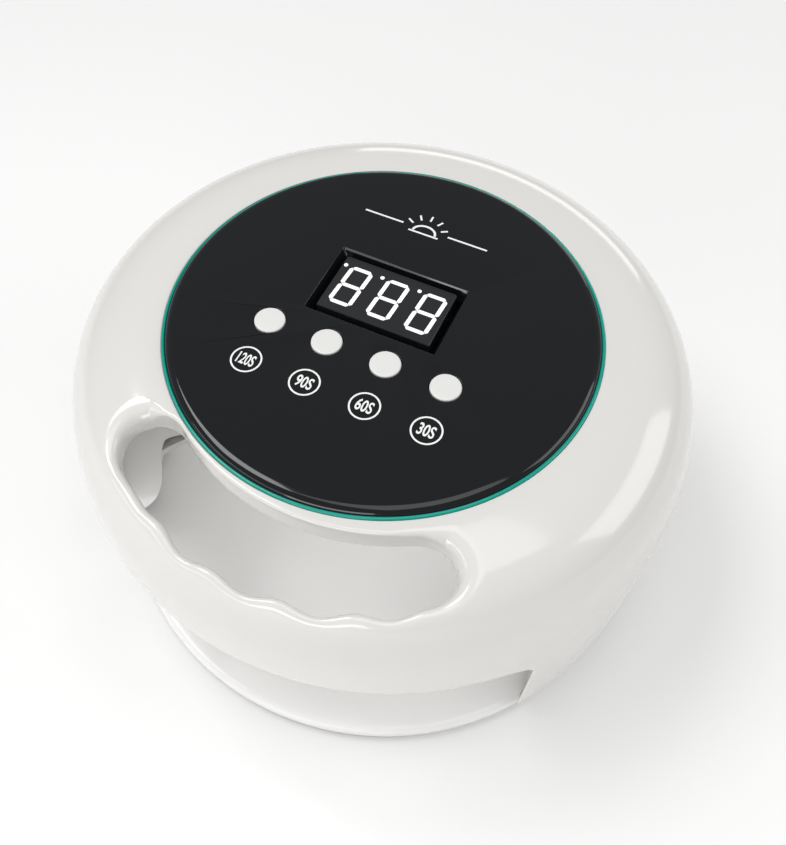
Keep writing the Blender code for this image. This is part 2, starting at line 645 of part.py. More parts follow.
def fasteners(mat, magnet_mat):
    under = BASE_TOP + 2.6 - GAP
    for name, bearing in zip(("screw_front_left", "screw_front_right", "screw_back_left", "screw_back_right"), SCREW_BEARINGS):
        x, y, _ = screw_spot(bearing, 0)
        profile = [(0, under - 1.3), (1.7, under - 1.3), (1.9, under - 1.0), (1.9, under), (1.1, under), (1.1, 19.0),
                   (0, 20.0)]
        lathe(name, profile, mat, centre=(x, y), steps=12, oval=False)
    for name, bearing in zip(("left", "right", "back"), MAGNET_BEARINGS):
        x, y, _ = magnet_spot(bearing)
        lathe(f"magnet_{name}", [(0, under - 1.5), (2.5, under - 1.5), (2.5, under), (0, under)], magnet_mat,
              centre=(x, y), steps=16, oval=False)
        z = BASE_TOP - 1.1
        lathe(f"strike_{name}", [(0, z), (3, z), (3, z + 0.9), (0, z + 0.9)], mat, centre=(x, y), steps=16, oval=False)


def leads(mat):
    """Cables from the driver board to the control board, the inlet and the light boards."""
    y, z = driver_middle(), driver_z() + BOARD_THICK
    wall_in = dome_radius(jack_z() + JACK_SIZE[2] / 2, WALL) * DEPTH_RATIO - 0.6
    jack_top = jack_z() + JACK_SIZE[2] / 2
    wire("inlet_lead", [(0, wall_in - 6, jack_top + 1.4), (0, wall_in - 6, jack_top + 6), (0, y + 12, z + 4.2),
                        (0, y + 9, z + 3.6), (0, y + 9, z + 1.4)], 1.0, mat)
    board_low = BOARD_TOP - BOARD_THICK
    wire("control_lead", [(16, y - 9, z + 1.4), (16, y - 9, z + 3.4), (14, y - 15, z + 4.2), (12, y - 22, board_low - 2.4),
                          (10, y - 29, board_low - 2.2), (10, y - 31, board_low - 1.3)], 0.9, mat)
    wire("light_lead", [(-16, y - 10, z + 1.4), (-16, y - 10, z + 3.0), (-17, y - 17, z + 1.5), (-15, y - 26, z - 0.5),
                        (-12, y - 32, CEILING_Z + 4.6), (-10, y - 36, CEILING_Z + GAP + BOARD_THICK + 1.3)], 0.9, mat)


def build():
    clear_scene()
    white = material("gloss_white", (0.86, 0.85, 0.83), 0.22)
    base = material("base_white", (0.84, 0.83, 0.81), 0.35)
    liner = material("liner_white", (0.80, 0.79, 0.77), 0.30)
    black = material("panel_black", (0.012, 0.014, 0.015), 0.08)
    teal = material("ring_teal", (0.01, 0.42, 0.33), 0.25)
    key = material("key_white", (0.92, 0.92, 0.92), 0.40)
    face = material("display_face", (0.16, 0.16, 0.17), 0.30)
    board = material("board_green", (0.02, 0.14, 0.06), 0.55)
    light = material("light_board", (0.82, 0.80, 0.70), 0.45)
    dark = material("component_black", (0.03, 0.03, 0.03), 0.50)
    steel = material("steel", (0.62, 0.62, 0.63), 0.30, 1.0)
    magnet = material("magnet_nickel", (0.70, 0.69, 0.66), 0.20, 1.0)
    rubber = material("foot_rubber", (0.05, 0.05, 0.05), 0.85)
    cable = material("cable_red", (0.45, 0.03, 0.03), 0.50)
    top_shell(white)
    grip_cover(white)
    base_plate(base)
    feet(rubber)
    inner_liner(liner)
    accent_ring(teal)
    control_panel(black)
    display_module(face)
    keys_and_switches(key, dark)
    control_board(board, dark)
    led_board_top(light)
    side_led_boards(light)
    driver_board(board)
    hand_sensor(dark)
    dc_jack(dark)
    fasteners(steel, magnet)
    leads(cable)


build()
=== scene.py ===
# %% [markdown]
# # A round curing lamp for gel, seen from the front and above
#
# The CAD model gives every separate piece its place. This lesson loads it and keeps its box, then builds the pieces
# that show as fine surfaces: the white dome with its finger slot, the grip, the black panel, the teal ring, the
# display and the keys. Every piece rides on the body that carries it, so the housing still lifts off its base.

import math

import bmesh
import bpy
import numpy as np
from mathutils import Matrix, Vector


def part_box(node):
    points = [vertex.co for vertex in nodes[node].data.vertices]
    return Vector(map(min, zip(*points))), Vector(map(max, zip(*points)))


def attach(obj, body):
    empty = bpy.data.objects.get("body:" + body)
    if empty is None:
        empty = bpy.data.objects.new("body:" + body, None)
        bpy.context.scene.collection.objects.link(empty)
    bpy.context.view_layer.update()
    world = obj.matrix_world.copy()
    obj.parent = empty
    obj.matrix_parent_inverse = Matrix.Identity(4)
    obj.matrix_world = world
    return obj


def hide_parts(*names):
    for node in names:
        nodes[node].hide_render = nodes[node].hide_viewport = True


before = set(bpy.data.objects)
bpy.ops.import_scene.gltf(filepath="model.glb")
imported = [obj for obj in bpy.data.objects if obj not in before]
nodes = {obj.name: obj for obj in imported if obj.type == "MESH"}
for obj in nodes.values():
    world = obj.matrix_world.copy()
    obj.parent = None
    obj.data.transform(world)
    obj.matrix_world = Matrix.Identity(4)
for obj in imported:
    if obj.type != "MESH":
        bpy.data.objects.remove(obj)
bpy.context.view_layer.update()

# %% [markdown]
# ## The sizes that shape the lamp
#
# The same few sizes drive the CAD model. They are repeated here because this script reads nothing but the frame.
# Everything is in metres, the desk is z = 0, and bearings run from the front (-Y) towards the user's right (+X).

# %% Sizes
MM = 0.001
BODY_R = 96.6 * MM            # widest radius of the dome
DEPTH_RATIO = 0.975           # front to back over side to side, at the widest level
RIM_Z = 105.0 * MM            # rim round the panel
WAIST_Z = 50.0 * MM           # level of the widest radius
CREST_R = 50.0 * MM           # where the crown stops being flat
FOOT_R = 94.2 * MM
BASE_TOP = 6.5 * MM
SHELL_BOTTOM = BASE_TOP + 0.3 * MM
WALL = 2.4 * MM
PANEL_R = 63.5 * MM           # over the teal ring
SEAT_R = PANEL_R + 0.45 * MM  # pocket in the dome that takes the ring
SEAT_Z = RIM_Z - 2.7 * MM
PANEL_TOP = RIM_Z + 1.8 * MM
SLOT_IN = PANEL_R + 3.1 * MM
SLOT_OUT = BODY_R - 9.4 * MM
SLOT_REACH = 39.0             # degrees each way
SLOT_SKEW = 0.05 * MM         # per degree
DENT_PITCH = 12.7             # degrees between finger dents
DENT_DEPTH = 0.9 * MM
DENT_MIDDLE = 7.2             # degrees, where the row of four dents is centred
DENT_ROW = 2.05               # pitches from that middle to the outer dents' far sides
MOUTH_HALF = 75.5 * MM
MOUTH_TOP = 57.0 * MM
MOUTH_CORNER = 8.0 * MM
CONTROL_X = -1.9 * MM
KEY_R = 4.5 * MM
KEY_X = [CONTROL_X + 18.3 * MM * (i - 1.5) for i in range(4)]
KEY_Y = -14.8 * MM
LINER_R = BODY_R - 9.6 * MM
CEILING_Z = RIM_Z - 25.0 * MM
CEILING_R = PANEL_R - 16.0 * MM

# %% [markdown]
# ## Surfaces from rows of points
#
# A moulded plastic wall is a smooth sheet with rounded edges, so each piece here is rows of points worked out as whole
# arrays: one index walks along the piece and the other walks round its section. Neighbouring rows become faces, and
# rows that share an edge are welded, which leaves one closed skin.


# %% Rows into a mesh
def grid_faces(rows, cols, close_rows=False, close_cols=False):
    """Quads between neighbouring rows and columns of a rows x cols grid, closing round where asked."""
    i = np.arange(rows if close_rows else rows - 1)[:, None]
    j = np.arange(cols if close_cols else cols - 1)[None, :]
    i2, j2 = (i + 1) % rows, (j + 1) % cols
    return np.stack([i * cols + j, i * cols + j2, i2 * cols + j2, i2 * cols + j], -1).reshape(-1, 4)


def skin(name, grids, polygons=(), material=None, sharp=38.0, weld=2e-6):
    """One object from several grids: (points[rows, cols, 3], close_rows, close_cols) and loose polygons."""
    points, faces, start = [], [], 0
    for pts, close_rows, close_cols in grids:
        rows, cols = pts.shape[:2]
        faces += (grid_faces(rows, cols, close_rows, close_cols) + start).tolist()
        points.append(pts.reshape(-1, 3))
        start += rows * cols
    for poly in polygons:
        faces.append(list(range(start, start + len(poly))))
        points.append(np.asarray(poly, float))
        start += len(poly)
    mesh = bpy.data.meshes.new(name)
    mesh.from_pydata(np.concatenate(points).tolist(), [], faces)
    bm = bmesh.new()
    bm.from_mesh(mesh)
    bmesh.ops.remove_doubles(bm, verts=bm.verts, dist=weld)
    bmesh.ops.dissolve_degenerate(bm, edges=bm.edges, dist=1e-7)
    bmesh.ops.recalc_face_normals(bm, faces=bm.faces)
    open_edges = sum(len(e.link_faces) != 2 for e in bm.edges)
    bm.to_mesh(mesh)
    bm.free()
    mesh.polygons.foreach_set("use_smooth", np.ones(len(mesh.polygons), bool))
    mesh.set_sharp_from_angle(angle=math.radians(sharp))
    obj = bpy.data.objects.new(name, mesh)
    bpy.context.scene.collection.objects.link(obj)
    if material:
        mesh.materials.append(material)
    print(f"{name}: {len(mesh.polygons)} faces, {open_edges} open edges")
    return obj


def turned_skin(name, profile, steps, material, centre=(0.0, 0.0), oval=False, sharp=38.0):
    """A closed profile of (radius, height) rows swept once round the upright axis; radius 0 is a pole."""
    r, z = np.array(profile, float).T
    b = np.linspace(0, math.tau, steps, endpoint=False)[None, :]
    pts = place(r[:, None], b, z[:, None]) if oval else np.stack(
        [r[:, None] * np.sin(b), -r[:, None] * np.cos(b), z[:, None] + 0 * b], -1)
    pts[..., 0] += centre[0]
    pts[..., 1] += centre[1]
    return skin(name, [(pts, r[0] > 0 and r[-1] > 0, True)], material=material, sharp=sharp)


def fillet(corner, before, after, radius, steps=6):
    """Rows that round one corner of a (radius, height) profile between two straight runs."""
    corner, before, after = (np.array(p, float) for p in (corner, before, after))
    u = (before - corner) / np.linalg.norm(before - corner)
    v = (after - corner) / np.linalg.norm(after - corner)
    t = np.linspace(0, math.pi / 2, steps + 1)[:, None]
    return corner + radius * (1 - np.sin(t)) * u + radius * (1 - np.cos(t)) * v


def rounded_profile(points):
    """A (radius, height, corner radius) list turned into rows, each inner corner rounded by its own radius."""
    flat = [np.array(p[:2], float) for p in points]
    rows = []
    for i, (p, spec) in enumerate(zip(flat, points)):
        if spec[2] <= 0 or i in (0, len(points) - 1):
            rows.append(p[None, :])
        else:
            rows.append(fillet(p, flat[i - 1], flat[i + 1], spec[2]))
    return np.concatenate(rows)


# %% [markdown]
# ## The dome's own coordinates
#
# The dome is a square-shouldered crown above the waist and a faint draw-in below it. Any point on it is given by its
# bearing and by its distance down the wall from the panel, so a slot or a mouth can be laid out on it as on paper.


# %% Dome
def place(r, bearing, z):
    """Point at a radius and bearing: the dome is a circle at the ring and slightly oval at its widest."""
    ratio = 1 - (1 - DEPTH_RATIO) * np.clip((r - PANEL_R) / (BODY_R - PANEL_R), 0, 1)
    r, bearing, z = np.broadcast_arrays(r, bearing, z)
    return np.stack([r * np.sin(bearing), -r * np.cos(bearing) * ratio, z], -1)


def dome_table():
    """Radius, height and outward slope along the wall: a fourth-power ellipse, then a parabola to the foot."""
    t = (np.linspace(1, 0, 6001) ** 2) * math.pi / 2
    r = CREST_R + (BODY_R - CREST_R) * np.sqrt(np.cos(t))
    z = WAIST_Z + (RIM_Z - WAIST_Z) * np.sqrt(np.sin(t))
    nr = ((r - CREST_R) / (BODY_R - CREST_R)) ** 3 / (BODY_R - CREST_R)
    nz = ((z - WAIST_Z) / (RIM_Z - WAIST_Z)) ** 3 / (RIM_Z - WAIST_Z)
    z2 = np.linspace(WAIST_Z, 0, 1001)[1:]
    u = (WAIST_Z - z2) / WAIST_Z
    r = np.append(r, BODY_R - (BODY_R - FOOT_R) * u * u)
    z = np.append(z, z2)
    nr, nz = np.append(nr, np.ones(1000)), np.append(nz, -2 * (BODY_R - FOOT_R) * u / WAIST_Z)
    length = np.hypot(nr, nz)
    s = np.append(0, np.cumsum(np.hypot(np.diff(r), np.diff(z))))
    return s, r, z, nr / length, nz / length


DOME_S, DOME_RR, DOME_ZZ, DOME_NR, DOME_NZ = dome_table()


def dome(b, s):
    """Point of the outer face at a bearing and a distance down the wall."""
    return place(np.interp(s, DOME_S, DOME_RR), b, np.interp(s, DOME_S, DOME_ZZ))


def dome_normal(b, s):
    """Unit outward direction there, from the wall's own slope turned to the bearing."""
    nr, nz = np.interp(s, DOME_S, DOME_NR), np.interp(s, DOME_S, DOME_NZ)
    n = np.stack(np.broadcast_arrays(nr * np.sin(b), -nr * np.cos(b), nz), -1)
    return n / np.linalg.norm(n, axis=-1, keepdims=True)


def radius_to_s(r):
    return np.interp(r, DOME_RR[:6001], DOME_S[:6001])


def height_to_s(z):
    return np.interp(-z, -DOME_ZZ, DOME_S)


def dome_height(r):
    return np.interp(r, DOME_RR[:6001], DOME_ZZ[:6001])


def smooth(x, low, high):
    """0 below low, 1 above high, and the cubic 3t^2 - 2t^3 between."""
    t = np.clip((x - low) / (high - low), 0, 1)
    return t * t * (3 - 2 * t)


print("dome wall from panel to foot:", round(float(height_to_s(SHELL_BOTTOM) - radius_to_s(SEAT_R)) * 1000, 1), "mm")

# %% [markdown]
# ## Outlines of the finger slot and the hand opening
#
# The slot is a bent stadium behind the grip. Its grip side is waved in four shallow dents, one for each finger. The
# hand opening is a rectangle with round top corners, cut straight back through the front of the dome.

# %% Outlines
ENDS = 49                     # points round each end of the slot, which the wall beside it shares
SIDE_COUNT = 170              # points along each long side of the slot
JAMB_COUNT = 46               # points down each side of the hand opening


def finger_dents(degrees):
    """Depth of the four dents: a cosine of the bearing that fades out half a pitch past the outer dents."""
    away = np.abs(degrees - DENT_MIDDLE) - DENT_ROW * DENT_PITCH
    fade = np.clip(1 - np.maximum(away, 0) / (0.5 * DENT_PITCH), 0, 1)
    return DENT_DEPTH * fade * np.cos(math.tau * (degrees - DENT_MIDDLE) / DENT_PITCH + math.pi)


def grip_radius(degrees):
    """Grip side of the slot: a constant radius with the dents, drawn in a little towards both ends."""
    drawn = 2.6 * MM * smooth(-degrees, 4.0, 30.0) + 1.2 * MM * smooth(degrees, 16.0, 32.0)
    return SLOT_OUT - drawn + finger_dents(degrees)


def along(points, count):
    """The same polyline with its points spaced evenly."""
    d = np.append(0, np.cumsum(np.linalg.norm(np.diff(points, axis=0), axis=1)))
    q = np.linspace(0, d[-1], count)
    return np.stack([np.interp(q, d, points[:, k]) for k in (0, 1)], -1)


def slot_loop():
    """Slot edge as (bearing, distance down the wall), clockwise: ring side, right end, grip side, left end."""
    middle, half = (SLOT_IN + SLOT_OUT) / 2, (SLOT_OUT - SLOT_IN) / 2
    bend = SLOT_REACH - math.degrees(half / middle)

    def end(t, side):
        drawn = grip_radius(side * bend) - SLOT_OUT
        r = middle - np.cos(t) * half + SLOT_SKEW * side * bend * (1 + np.cos(t)) / 2 + drawn * (1 - np.cos(t)) / 2
        return np.stack([side * (bend + np.degrees(np.sin(t) * half / middle)), r], -1)

    d = np.linspace(-bend, bend, 200)
    near = np.stack([d, SLOT_IN + SLOT_SKEW * d], -1)
    far = np.stack([-d, grip_radius(-d)], -1)
    a, b = 0.22 * math.pi, 0.78 * math.pi
    lead, tail = np.linspace(0, a, 20), np.linspace(b, math.pi, 20)
    sides = [np.concatenate([end(lead[::-1], -1), near[1:-1], end(lead, 1)]), end(np.linspace(a, b, ENDS), 1),
             np.concatenate([end(tail, 1), far[1:-1], end(tail[::-1], -1)]), end(np.linspace(b, a, ENDS), -1)]
    scale = np.array([math.radians(1) * middle, 1.0])
    sides = [along(p * scale, n) / scale for p, n in zip(sides, (SIDE_COUNT, ENDS, SIDE_COUNT, ENDS))]
    loop = np.concatenate([p[:-1] for p in sides])
    for _ in range(8):
        loop = (np.roll(loop, 1, 0) + 2 * loop + np.roll(loop, -1, 0)) / 4
    return np.radians(loop[:, 0]), radius_to_s(loop[:, 1])


def outward(b, s, closed, turn=1.0):
    """Unit direction on the wall, square to a curve: its parts along the bearing and down the wall."""
    r = np.interp(s, DOME_S, DOME_RR)
    if closed:
        db, ds = np.roll(b, -1) - np.roll(b, 1), np.roll(s, -1) - np.roll(s, 1)
    else:
        db, ds = np.gradient(b), np.gradient(s)
    x, y = turn * ds, -turn * db * r
    length = np.hypot(x, y)
    return x / length, y / length


def mouth_path(l):
    """Edge of the hand opening at a distance from its top middle: along the top, round the corner, down the side."""
    q, side = np.abs(l), np.sign(l)
    flat = MOUTH_HALF - MOUTH_CORNER
    t = np.clip((q - flat) / MOUTH_CORNER, 0, math.pi / 2)
    x = np.minimum(q, flat) + MOUTH_CORNER * np.sin(t)
    z = MOUTH_TOP - MOUTH_CORNER * (1 - np.cos(t)) - np.maximum(q - flat - MOUTH_CORNER * math.pi / 2, 0)
    s = height_to_s(z)
    return np.arcsin(side * x / np.interp(s, DOME_S, DOME_RR)), s


CORNER_MIDDLE = MOUTH_HALF - MOUTH_CORNER + MOUTH_CORNER * math.pi / 4
JAMB_END = MOUTH_HALF - MOUTH_CORNER + MOUTH_CORNER * math.pi / 2 + MOUTH_TOP - MOUTH_CORNER - SHELL_BOTTOM - 0.5 * MM
jamb_l = CORNER_MIDDLE + (JAMB_END - CORNER_MIDDLE) * np.linspace(0, 1, JAMB_COUNT) ** 1.3
mouth_l = np.concatenate([jamb_l[:0:-1], np.linspace(CORNER_MIDDLE, -CORNER_MIDDLE, SIDE_COUNT), -jamb_l[1:]])
slot_b, slot_s = slot_loop()
mouth_b, mouth_s = mouth_path(mouth_l)
print("slot points:", len(slot_b), "mouth points:", len(mouth_b))

# %% [markdown]
# ## Rolled edges
#
# Moulded openings have no raw edge. The wall rolls over, runs down into the hole, and ends in a rounded bead. One
# function makes that section for the slot and for the hand opening: it walks round the section while the edge curve
# runs along it. The roll is small beside the ring, larger on the grip, and widest at the two ends of the slot.


# %% Rolled edge
def rolled_edge(b, s, nb, ns, roll, wall, reach, inward, under, inner_reach, climb=1.0):
    """Section rows from the outer face round the roll, down the wall, round the bead and back to the inner face.

    Each row is the wall point at a growth g from the edge, moved a depth along the inward direction. The roll is a
    quarter oval: g = climb roll (1 - sin t), depth = roll (1 - cos t), so a climb of 1 makes it round."""
    r = np.interp(s, DOME_S, DOME_RR)
    n = dome_normal(b, s)
    tilt = np.clip(-(n * inward).sum(-1), 0.3, 1.0)

    def at(g, depth):
        return dome(b + g * nb / r, s + g * ns) + depth[:, None] * inward

    rows = [at(climb * roll * (1 - math.sin(t)), roll * (1 - math.cos(t))) for t in np.linspace(0, math.pi / 2, 17)]
    rows += [at(0 * roll, roll + (reach - roll) * f) for f in (0.25, 0.5, 0.75, 1.0)]
    rows += [at(wall / 2 * (1 - math.cos(t)), reach + wall / 2 * math.sin(t)) for t in np.linspace(0, math.pi, 9)[1:]]
    inner_g = np.maximum(climb * roll, inner_reach)
    straight = under / tilt
    extra = np.maximum(roll - straight, 0.5 * MM)
    for t in np.linspace(math.pi / 2, 0, 7):
        g = inner_g - (inner_g - wall) * math.sin(t)
        c, k = math.cos(t), math.sin(t)
        gb, gs = b + g * nb / r, s + g * ns
        offset = -dome_normal(gb, gs) * (under * c)[:, None] + inward * (straight * k)[:, None]
        rows.append(dome(gb, gs) + offset + (extra * (1 - c))[:, None] * inward)
    rows = np.stack(rows)
    outer = (b + climb * roll * nb / r, s + climb * roll * ns)
    inner = (b + inner_g * nb / r, s + inner_g * ns)
    return rows, outer, inner


def shell_depth(s):
    """Thickness under the outer face: the wall, thicker where the seat for the ring is."""
    return WALL + 2.6 * MM * (1 - smooth(np.interp(s, DOME_S, DOME_RR), 65.0 * MM, 70.0 * MM))


slot_nb, slot_ns = outward(slot_b, slot_s, True)
grip_side = smooth(np.interp(slot_s, DOME_S, DOME_RR), 70 * MM, 82 * MM)
at_end = smooth(np.abs(np.degrees(slot_b)), 27.0, 37.5)
slot_roll = (1.0 + 4.6 * grip_side) * (1 - at_end) * MM + at_end * (5.6 + 0.6 * grip_side) * MM
slot_roll = np.minimum(slot_roll, (0.9 + 14 * smooth(np.interp(slot_s, DOME_S, DOME_RR), 66.5 * MM, 79 * MM)) * MM)
slot_wall = (1.0 + 1.2 * grip_side) * (1 - at_end) * MM + at_end * 2.2 * MM
slot_wall = np.minimum(slot_wall, (1.0 + 3 * smooth(np.interp(slot_s, DOME_S, DOME_RR), 66.5 * MM, 72 * MM)) * MM)
slot_reach = np.maximum(7.0 * MM, slot_roll + 2.0 * MM)
down_axis = np.tile([0.0, 0.0, -1.0], (len(slot_b), 1))
slot_rows, slot_outer, slot_inner = rolled_edge(
    slot_b, slot_s, slot_nb, slot_ns, slot_roll, slot_wall, slot_reach, down_axis, shell_depth(slot_s),
    slot_wall + 0.6 * MM)

mouth_nb, mouth_ns = outward(mouth_b, mouth_s, False, -1.0)
mouth_nb[[0, -1]], mouth_ns[[0, -1]] = [1.0, -1.0], 0.0
on_jamb = smooth(np.abs(mouth_l), 58 * MM, 78 * MM)
mouth_roll = (4.0 * (1 - on_jamb) + 1.3 * on_jamb) * MM
mouth_wall = (1.6 * (1 - on_jamb) + 2.3 * on_jamb) * MM
mouth_reach = mouth_roll + (0.3 * (1 - on_jamb) + 4.2 * on_jamb) * MM
back_axis = np.tile([0.0, 1.0, 0.0], (len(mouth_b), 1))
mouth_rows, mouth_outer, mouth_inner = rolled_edge(
    mouth_b, mouth_s, mouth_nb, mouth_ns, mouth_roll, mouth_wall, mouth_reach, back_axis, WALL + 0 * mouth_s,
    mouth_wall + 0.6 * MM, 1.3 - 0.3 * on_jamb)
print("slot section rows:", len(slot_rows), "mouth section rows:", len(mouth_rows))

# %% [markdown]
# ## The dome
#
# The slot gets a net of its own: rows spread from its edge to the ring seat above, to the hand opening below, and to a
# line beside each end. The rest of the dome is a plain net round the back that starts on those same lines. The inner
# face repeats the outer one a wall thickness further in, and a stepped seat closes the top.


# %% Dome shell
SIDE_BEARING = math.radians(49.8)


def slot_net(edge, mouth_edge, seat_s, count=22):
    """Straight lines in wall coordinates from the slot's rolled edge out to the border round it."""
    k = JAMB_COUNT - 1
    corner_b, corner_s = mouth_edge[0][k], mouth_edge[1][k]
    f, e = np.linspace(0, 1, SIDE_COUNT)[:-1], np.linspace(0, 1, ENDS)[:-1]
    low = slice(k, k + SIDE_COUNT - 1)
    border_b = np.concatenate([-SIDE_BEARING + 2 * SIDE_BEARING * f, SIDE_BEARING + (corner_b - SIDE_BEARING) * e,
                               mouth_edge[0][low], -corner_b + (corner_b - SIDE_BEARING) * e])
    border_s = np.concatenate([0 * f + seat_s, seat_s + (corner_s - seat_s) * e,
                               mouth_edge[1][low], corner_s + (seat_s - corner_s) * e])
    v = np.linspace(0, 1, count)[:, None] ** 1.15
    return edge[0] + (border_b - edge[0]) * v, edge[1] + (border_s - edge[1]) * v


def back_net(mouth_edge, seat_s, count=300):
    """Rows round the back, each starting on the line beside the slot or on the side of the hand opening."""
    k = JAMB_COUNT - 1
    e = np.linspace(0, 1, ENDS)
    right_b = np.concatenate([SIDE_BEARING + (mouth_edge[0][k] - SIDE_BEARING) * e, mouth_edge[0][:k][::-1]])
    right_s = np.concatenate([seat_s + (mouth_edge[1][k] - seat_s) * e, mouth_edge[1][:k][::-1]])
    t = np.linspace(0, 1, count)[None, :]
    return right_b[:, None] + (math.tau - 2 * right_b[:, None]) * t, right_s[:, None] + 0 * t


def seat_rows(b, outer_s, inner_s):
    """Top edge of the dome: a small round, down the pocket's wall, in along the ledge, and back underneath."""
    top = dome_height(SEAT_R + 0.4 * MM)
    t = np.linspace(0, math.pi / 2, 6)
    r = np.concatenate([SEAT_R + 0.4 * MM * (1 - np.sin(t)), [SEAT_R, 57 * MM, 57 * MM]])
    under = RIM_Z - 5.1 * MM
    z = np.concatenate([top - 0.4 * MM * (1 - np.cos(t)), [SEAT_Z, SEAT_Z, under]])
    rows = place(r[:, None], b[None, :], z[:, None])
    rows[0] = dome(b, outer_s + 0 * b)
    last = dome(b, inner_s + 0 * b) - dome_normal(b, inner_s + 0 * b) * shell_depth(inner_s)
    return np.concatenate([rows, last[None]])


def foot_rows(b, s):
    """Rounded lower edge of the outer face, down to the seam above the base."""
    t = np.linspace(0, math.pi / 2, 5)[:, None]
    drop = 0.5 * MM
    return dome(b[None], s + drop * np.sin(t)) - dome_normal(b[None], s + 0 * t) * (drop * (1 - np.cos(t)))[..., None]


seat_outer, seat_inner = radius_to_s(SEAT_R + 0.4 * MM), radius_to_s(SEAT_R + 0.9 * MM)
front_outer = slot_net(slot_outer, mouth_outer, seat_outer)
front_inner = slot_net(slot_inner, mouth_inner, seat_inner, 14)
back_outer = back_net(mouth_outer, seat_outer)
back_inner = back_net(mouth_inner, seat_inner)


def inner_face(b, s):
    """The outer face moved in along its normal by the depth of the shell."""
    return dome(b, s) - dome_normal(b, s) * shell_depth(s)[..., None]


seat_b = np.concatenate([front_outer[0][-1][:SIDE_COUNT - 1], back_outer[0][0][:-1]])
foot = foot_rows(back_outer[0][-1], back_outer[1][-1, 0])
foot_under = np.stack([foot[-1], inner_face(back_inner[0][-1], back_inner[1][-1])])
cap_right = np.concatenate([mouth_rows[:, 0], foot_under[1:, 0], foot[::-1, 0][:-1]])
cap_left = np.concatenate([mouth_rows[:, -1], foot_under[1:, -1], foot[::-1, -1][:-1]])

# %% [markdown]
# ## Finishes
#
# The dome, grip, liner and base are glossy moulded plastic with the faint waviness that a mould leaves. The panel is a
# black acrylic lens, and the ring is translucent teal plastic with a faint even emission, a painted glow for the light
# that passes through it. Each finish starts from a shared node group that turns noise at two scales into colour,
# roughness and height.


# %% Finish groups and materials
def moulded_group():
    """Shared group: broad waviness and fine grain as colour, roughness and height."""
    group = bpy.data.node_groups.new("moulded surface", "ShaderNodeTree")
    face = group.interface
    for name, kind, value in (("Color", "NodeSocketColor", (0.8, 0.8, 0.8, 1)),
                              ("Tint", "NodeSocketColor", (0.7, 0.7, 0.7, 1)),
                              ("Mottle", "NodeSocketFloat", 0.1), ("Roughness", "NodeSocketFloat", 0.2),
                              ("Wear", "NodeSocketFloat", 0.05), ("Wave Scale", "NodeSocketFloat", 60.0),
                              ("Grain Scale", "NodeSocketFloat", 1800.0), ("Grain", "NodeSocketFloat", 0.2)):
        face.new_socket(name, in_out="INPUT", socket_type=kind).default_value = value
    for name, kind in (("Color", "NodeSocketColor"), ("Roughness", "NodeSocketFloat"), ("Height", "NodeSocketFloat")):
        face.new_socket(name, in_out="OUTPUT", socket_type=kind)
    n, link = group.nodes, group.links.new
    given, out = n.new("NodeGroupInput"), n.new("NodeGroupOutput")
    where = n.new("ShaderNodeTexCoord")
    wave, grain = n.new("ShaderNodeTexNoise"), n.new("ShaderNodeTexNoise")
    wave.inputs["Detail"].default_value, grain.inputs["Detail"].default_value = 3.0, 2.0
    for noise, scale in ((wave, "Wave Scale"), (grain, "Grain Scale")):
        link(where.outputs["Object"], noise.inputs["Vector"])
        link(given.outputs[scale], noise.inputs["Scale"])

    def maths(kind, *inputs):
        node = n.new("ShaderNodeMath")
        node.operation = kind
        for socket, value in zip(node.inputs, inputs):
            if isinstance(value, (int, float)):
                socket.default_value = value
            else:
                link(value, socket)
        return node.outputs[0]

    centred = maths("SUBTRACT", wave.outputs[0], 0.5)
    mix = n.new("ShaderNodeMix")
    mix.data_type = "RGBA"
    link(maths("MULTIPLY", given.outputs["Mottle"], wave.outputs[0]), mix.inputs["Factor"])
    link(given.outputs["Color"], mix.inputs["A"])
    link(given.outputs["Tint"], mix.inputs["B"])
    link(mix.outputs["Result"], out.inputs["Color"])
    spread = maths("MULTIPLY", centred, given.outputs["Wear"])
    link(maths("ADD", given.outputs["Roughness"], spread), out.inputs["Roughness"])
    fine = maths("MULTIPLY", grain.outputs[0], given.outputs["Grain"])
    link(maths("ADD", wave.outputs[0], fine), out.inputs["Height"])
    return group


MOULDED = moulded_group()


def finish(name, colour, tint=None, roughness=0.2, wear=0.06, mottle=0.2, wave=60.0, grain=0.2, bump=0.02,
           grain_scale=1800.0, **shader):
    """A material on the shared group; bump is its height in millimetres, and shader sets sockets by name."""
    mat = bpy.data.materials.new(name)
    mat.use_nodes = True
    n, link = mat.node_tree.nodes, mat.node_tree.links.new
    principled = n["Principled BSDF"]
    group = n.new("ShaderNodeGroup")
    group.node_tree = MOULDED
    for key, value in (("Color", colour), ("Tint", tint or tuple(0.9 * v for v in colour[:3]) + (1.0,)),
                       ("Mottle", mottle), ("Roughness", roughness), ("Wear", wear), ("Wave Scale", wave),
                       ("Grain Scale", grain_scale), ("Grain", grain)):
        group.inputs[key].default_value = value
    bump_node = n.new("ShaderNodeBump")
    bump_node.inputs["Strength"].default_value = 1.0
    bump_node.inputs["Distance"].default_value = bump * MM
    link(group.outputs["Color"], principled.inputs["Base Color"])
    link(group.outputs["Roughness"], principled.inputs["Roughness"])
    link(group.outputs["Height"], bump_node.inputs["Height"])
    link(bump_node.outputs["Normal"], principled.inputs["Normal"])
    for key, value in shader.items():
        principled.inputs[key.replace("_", " ")].default_value = value
    return mat


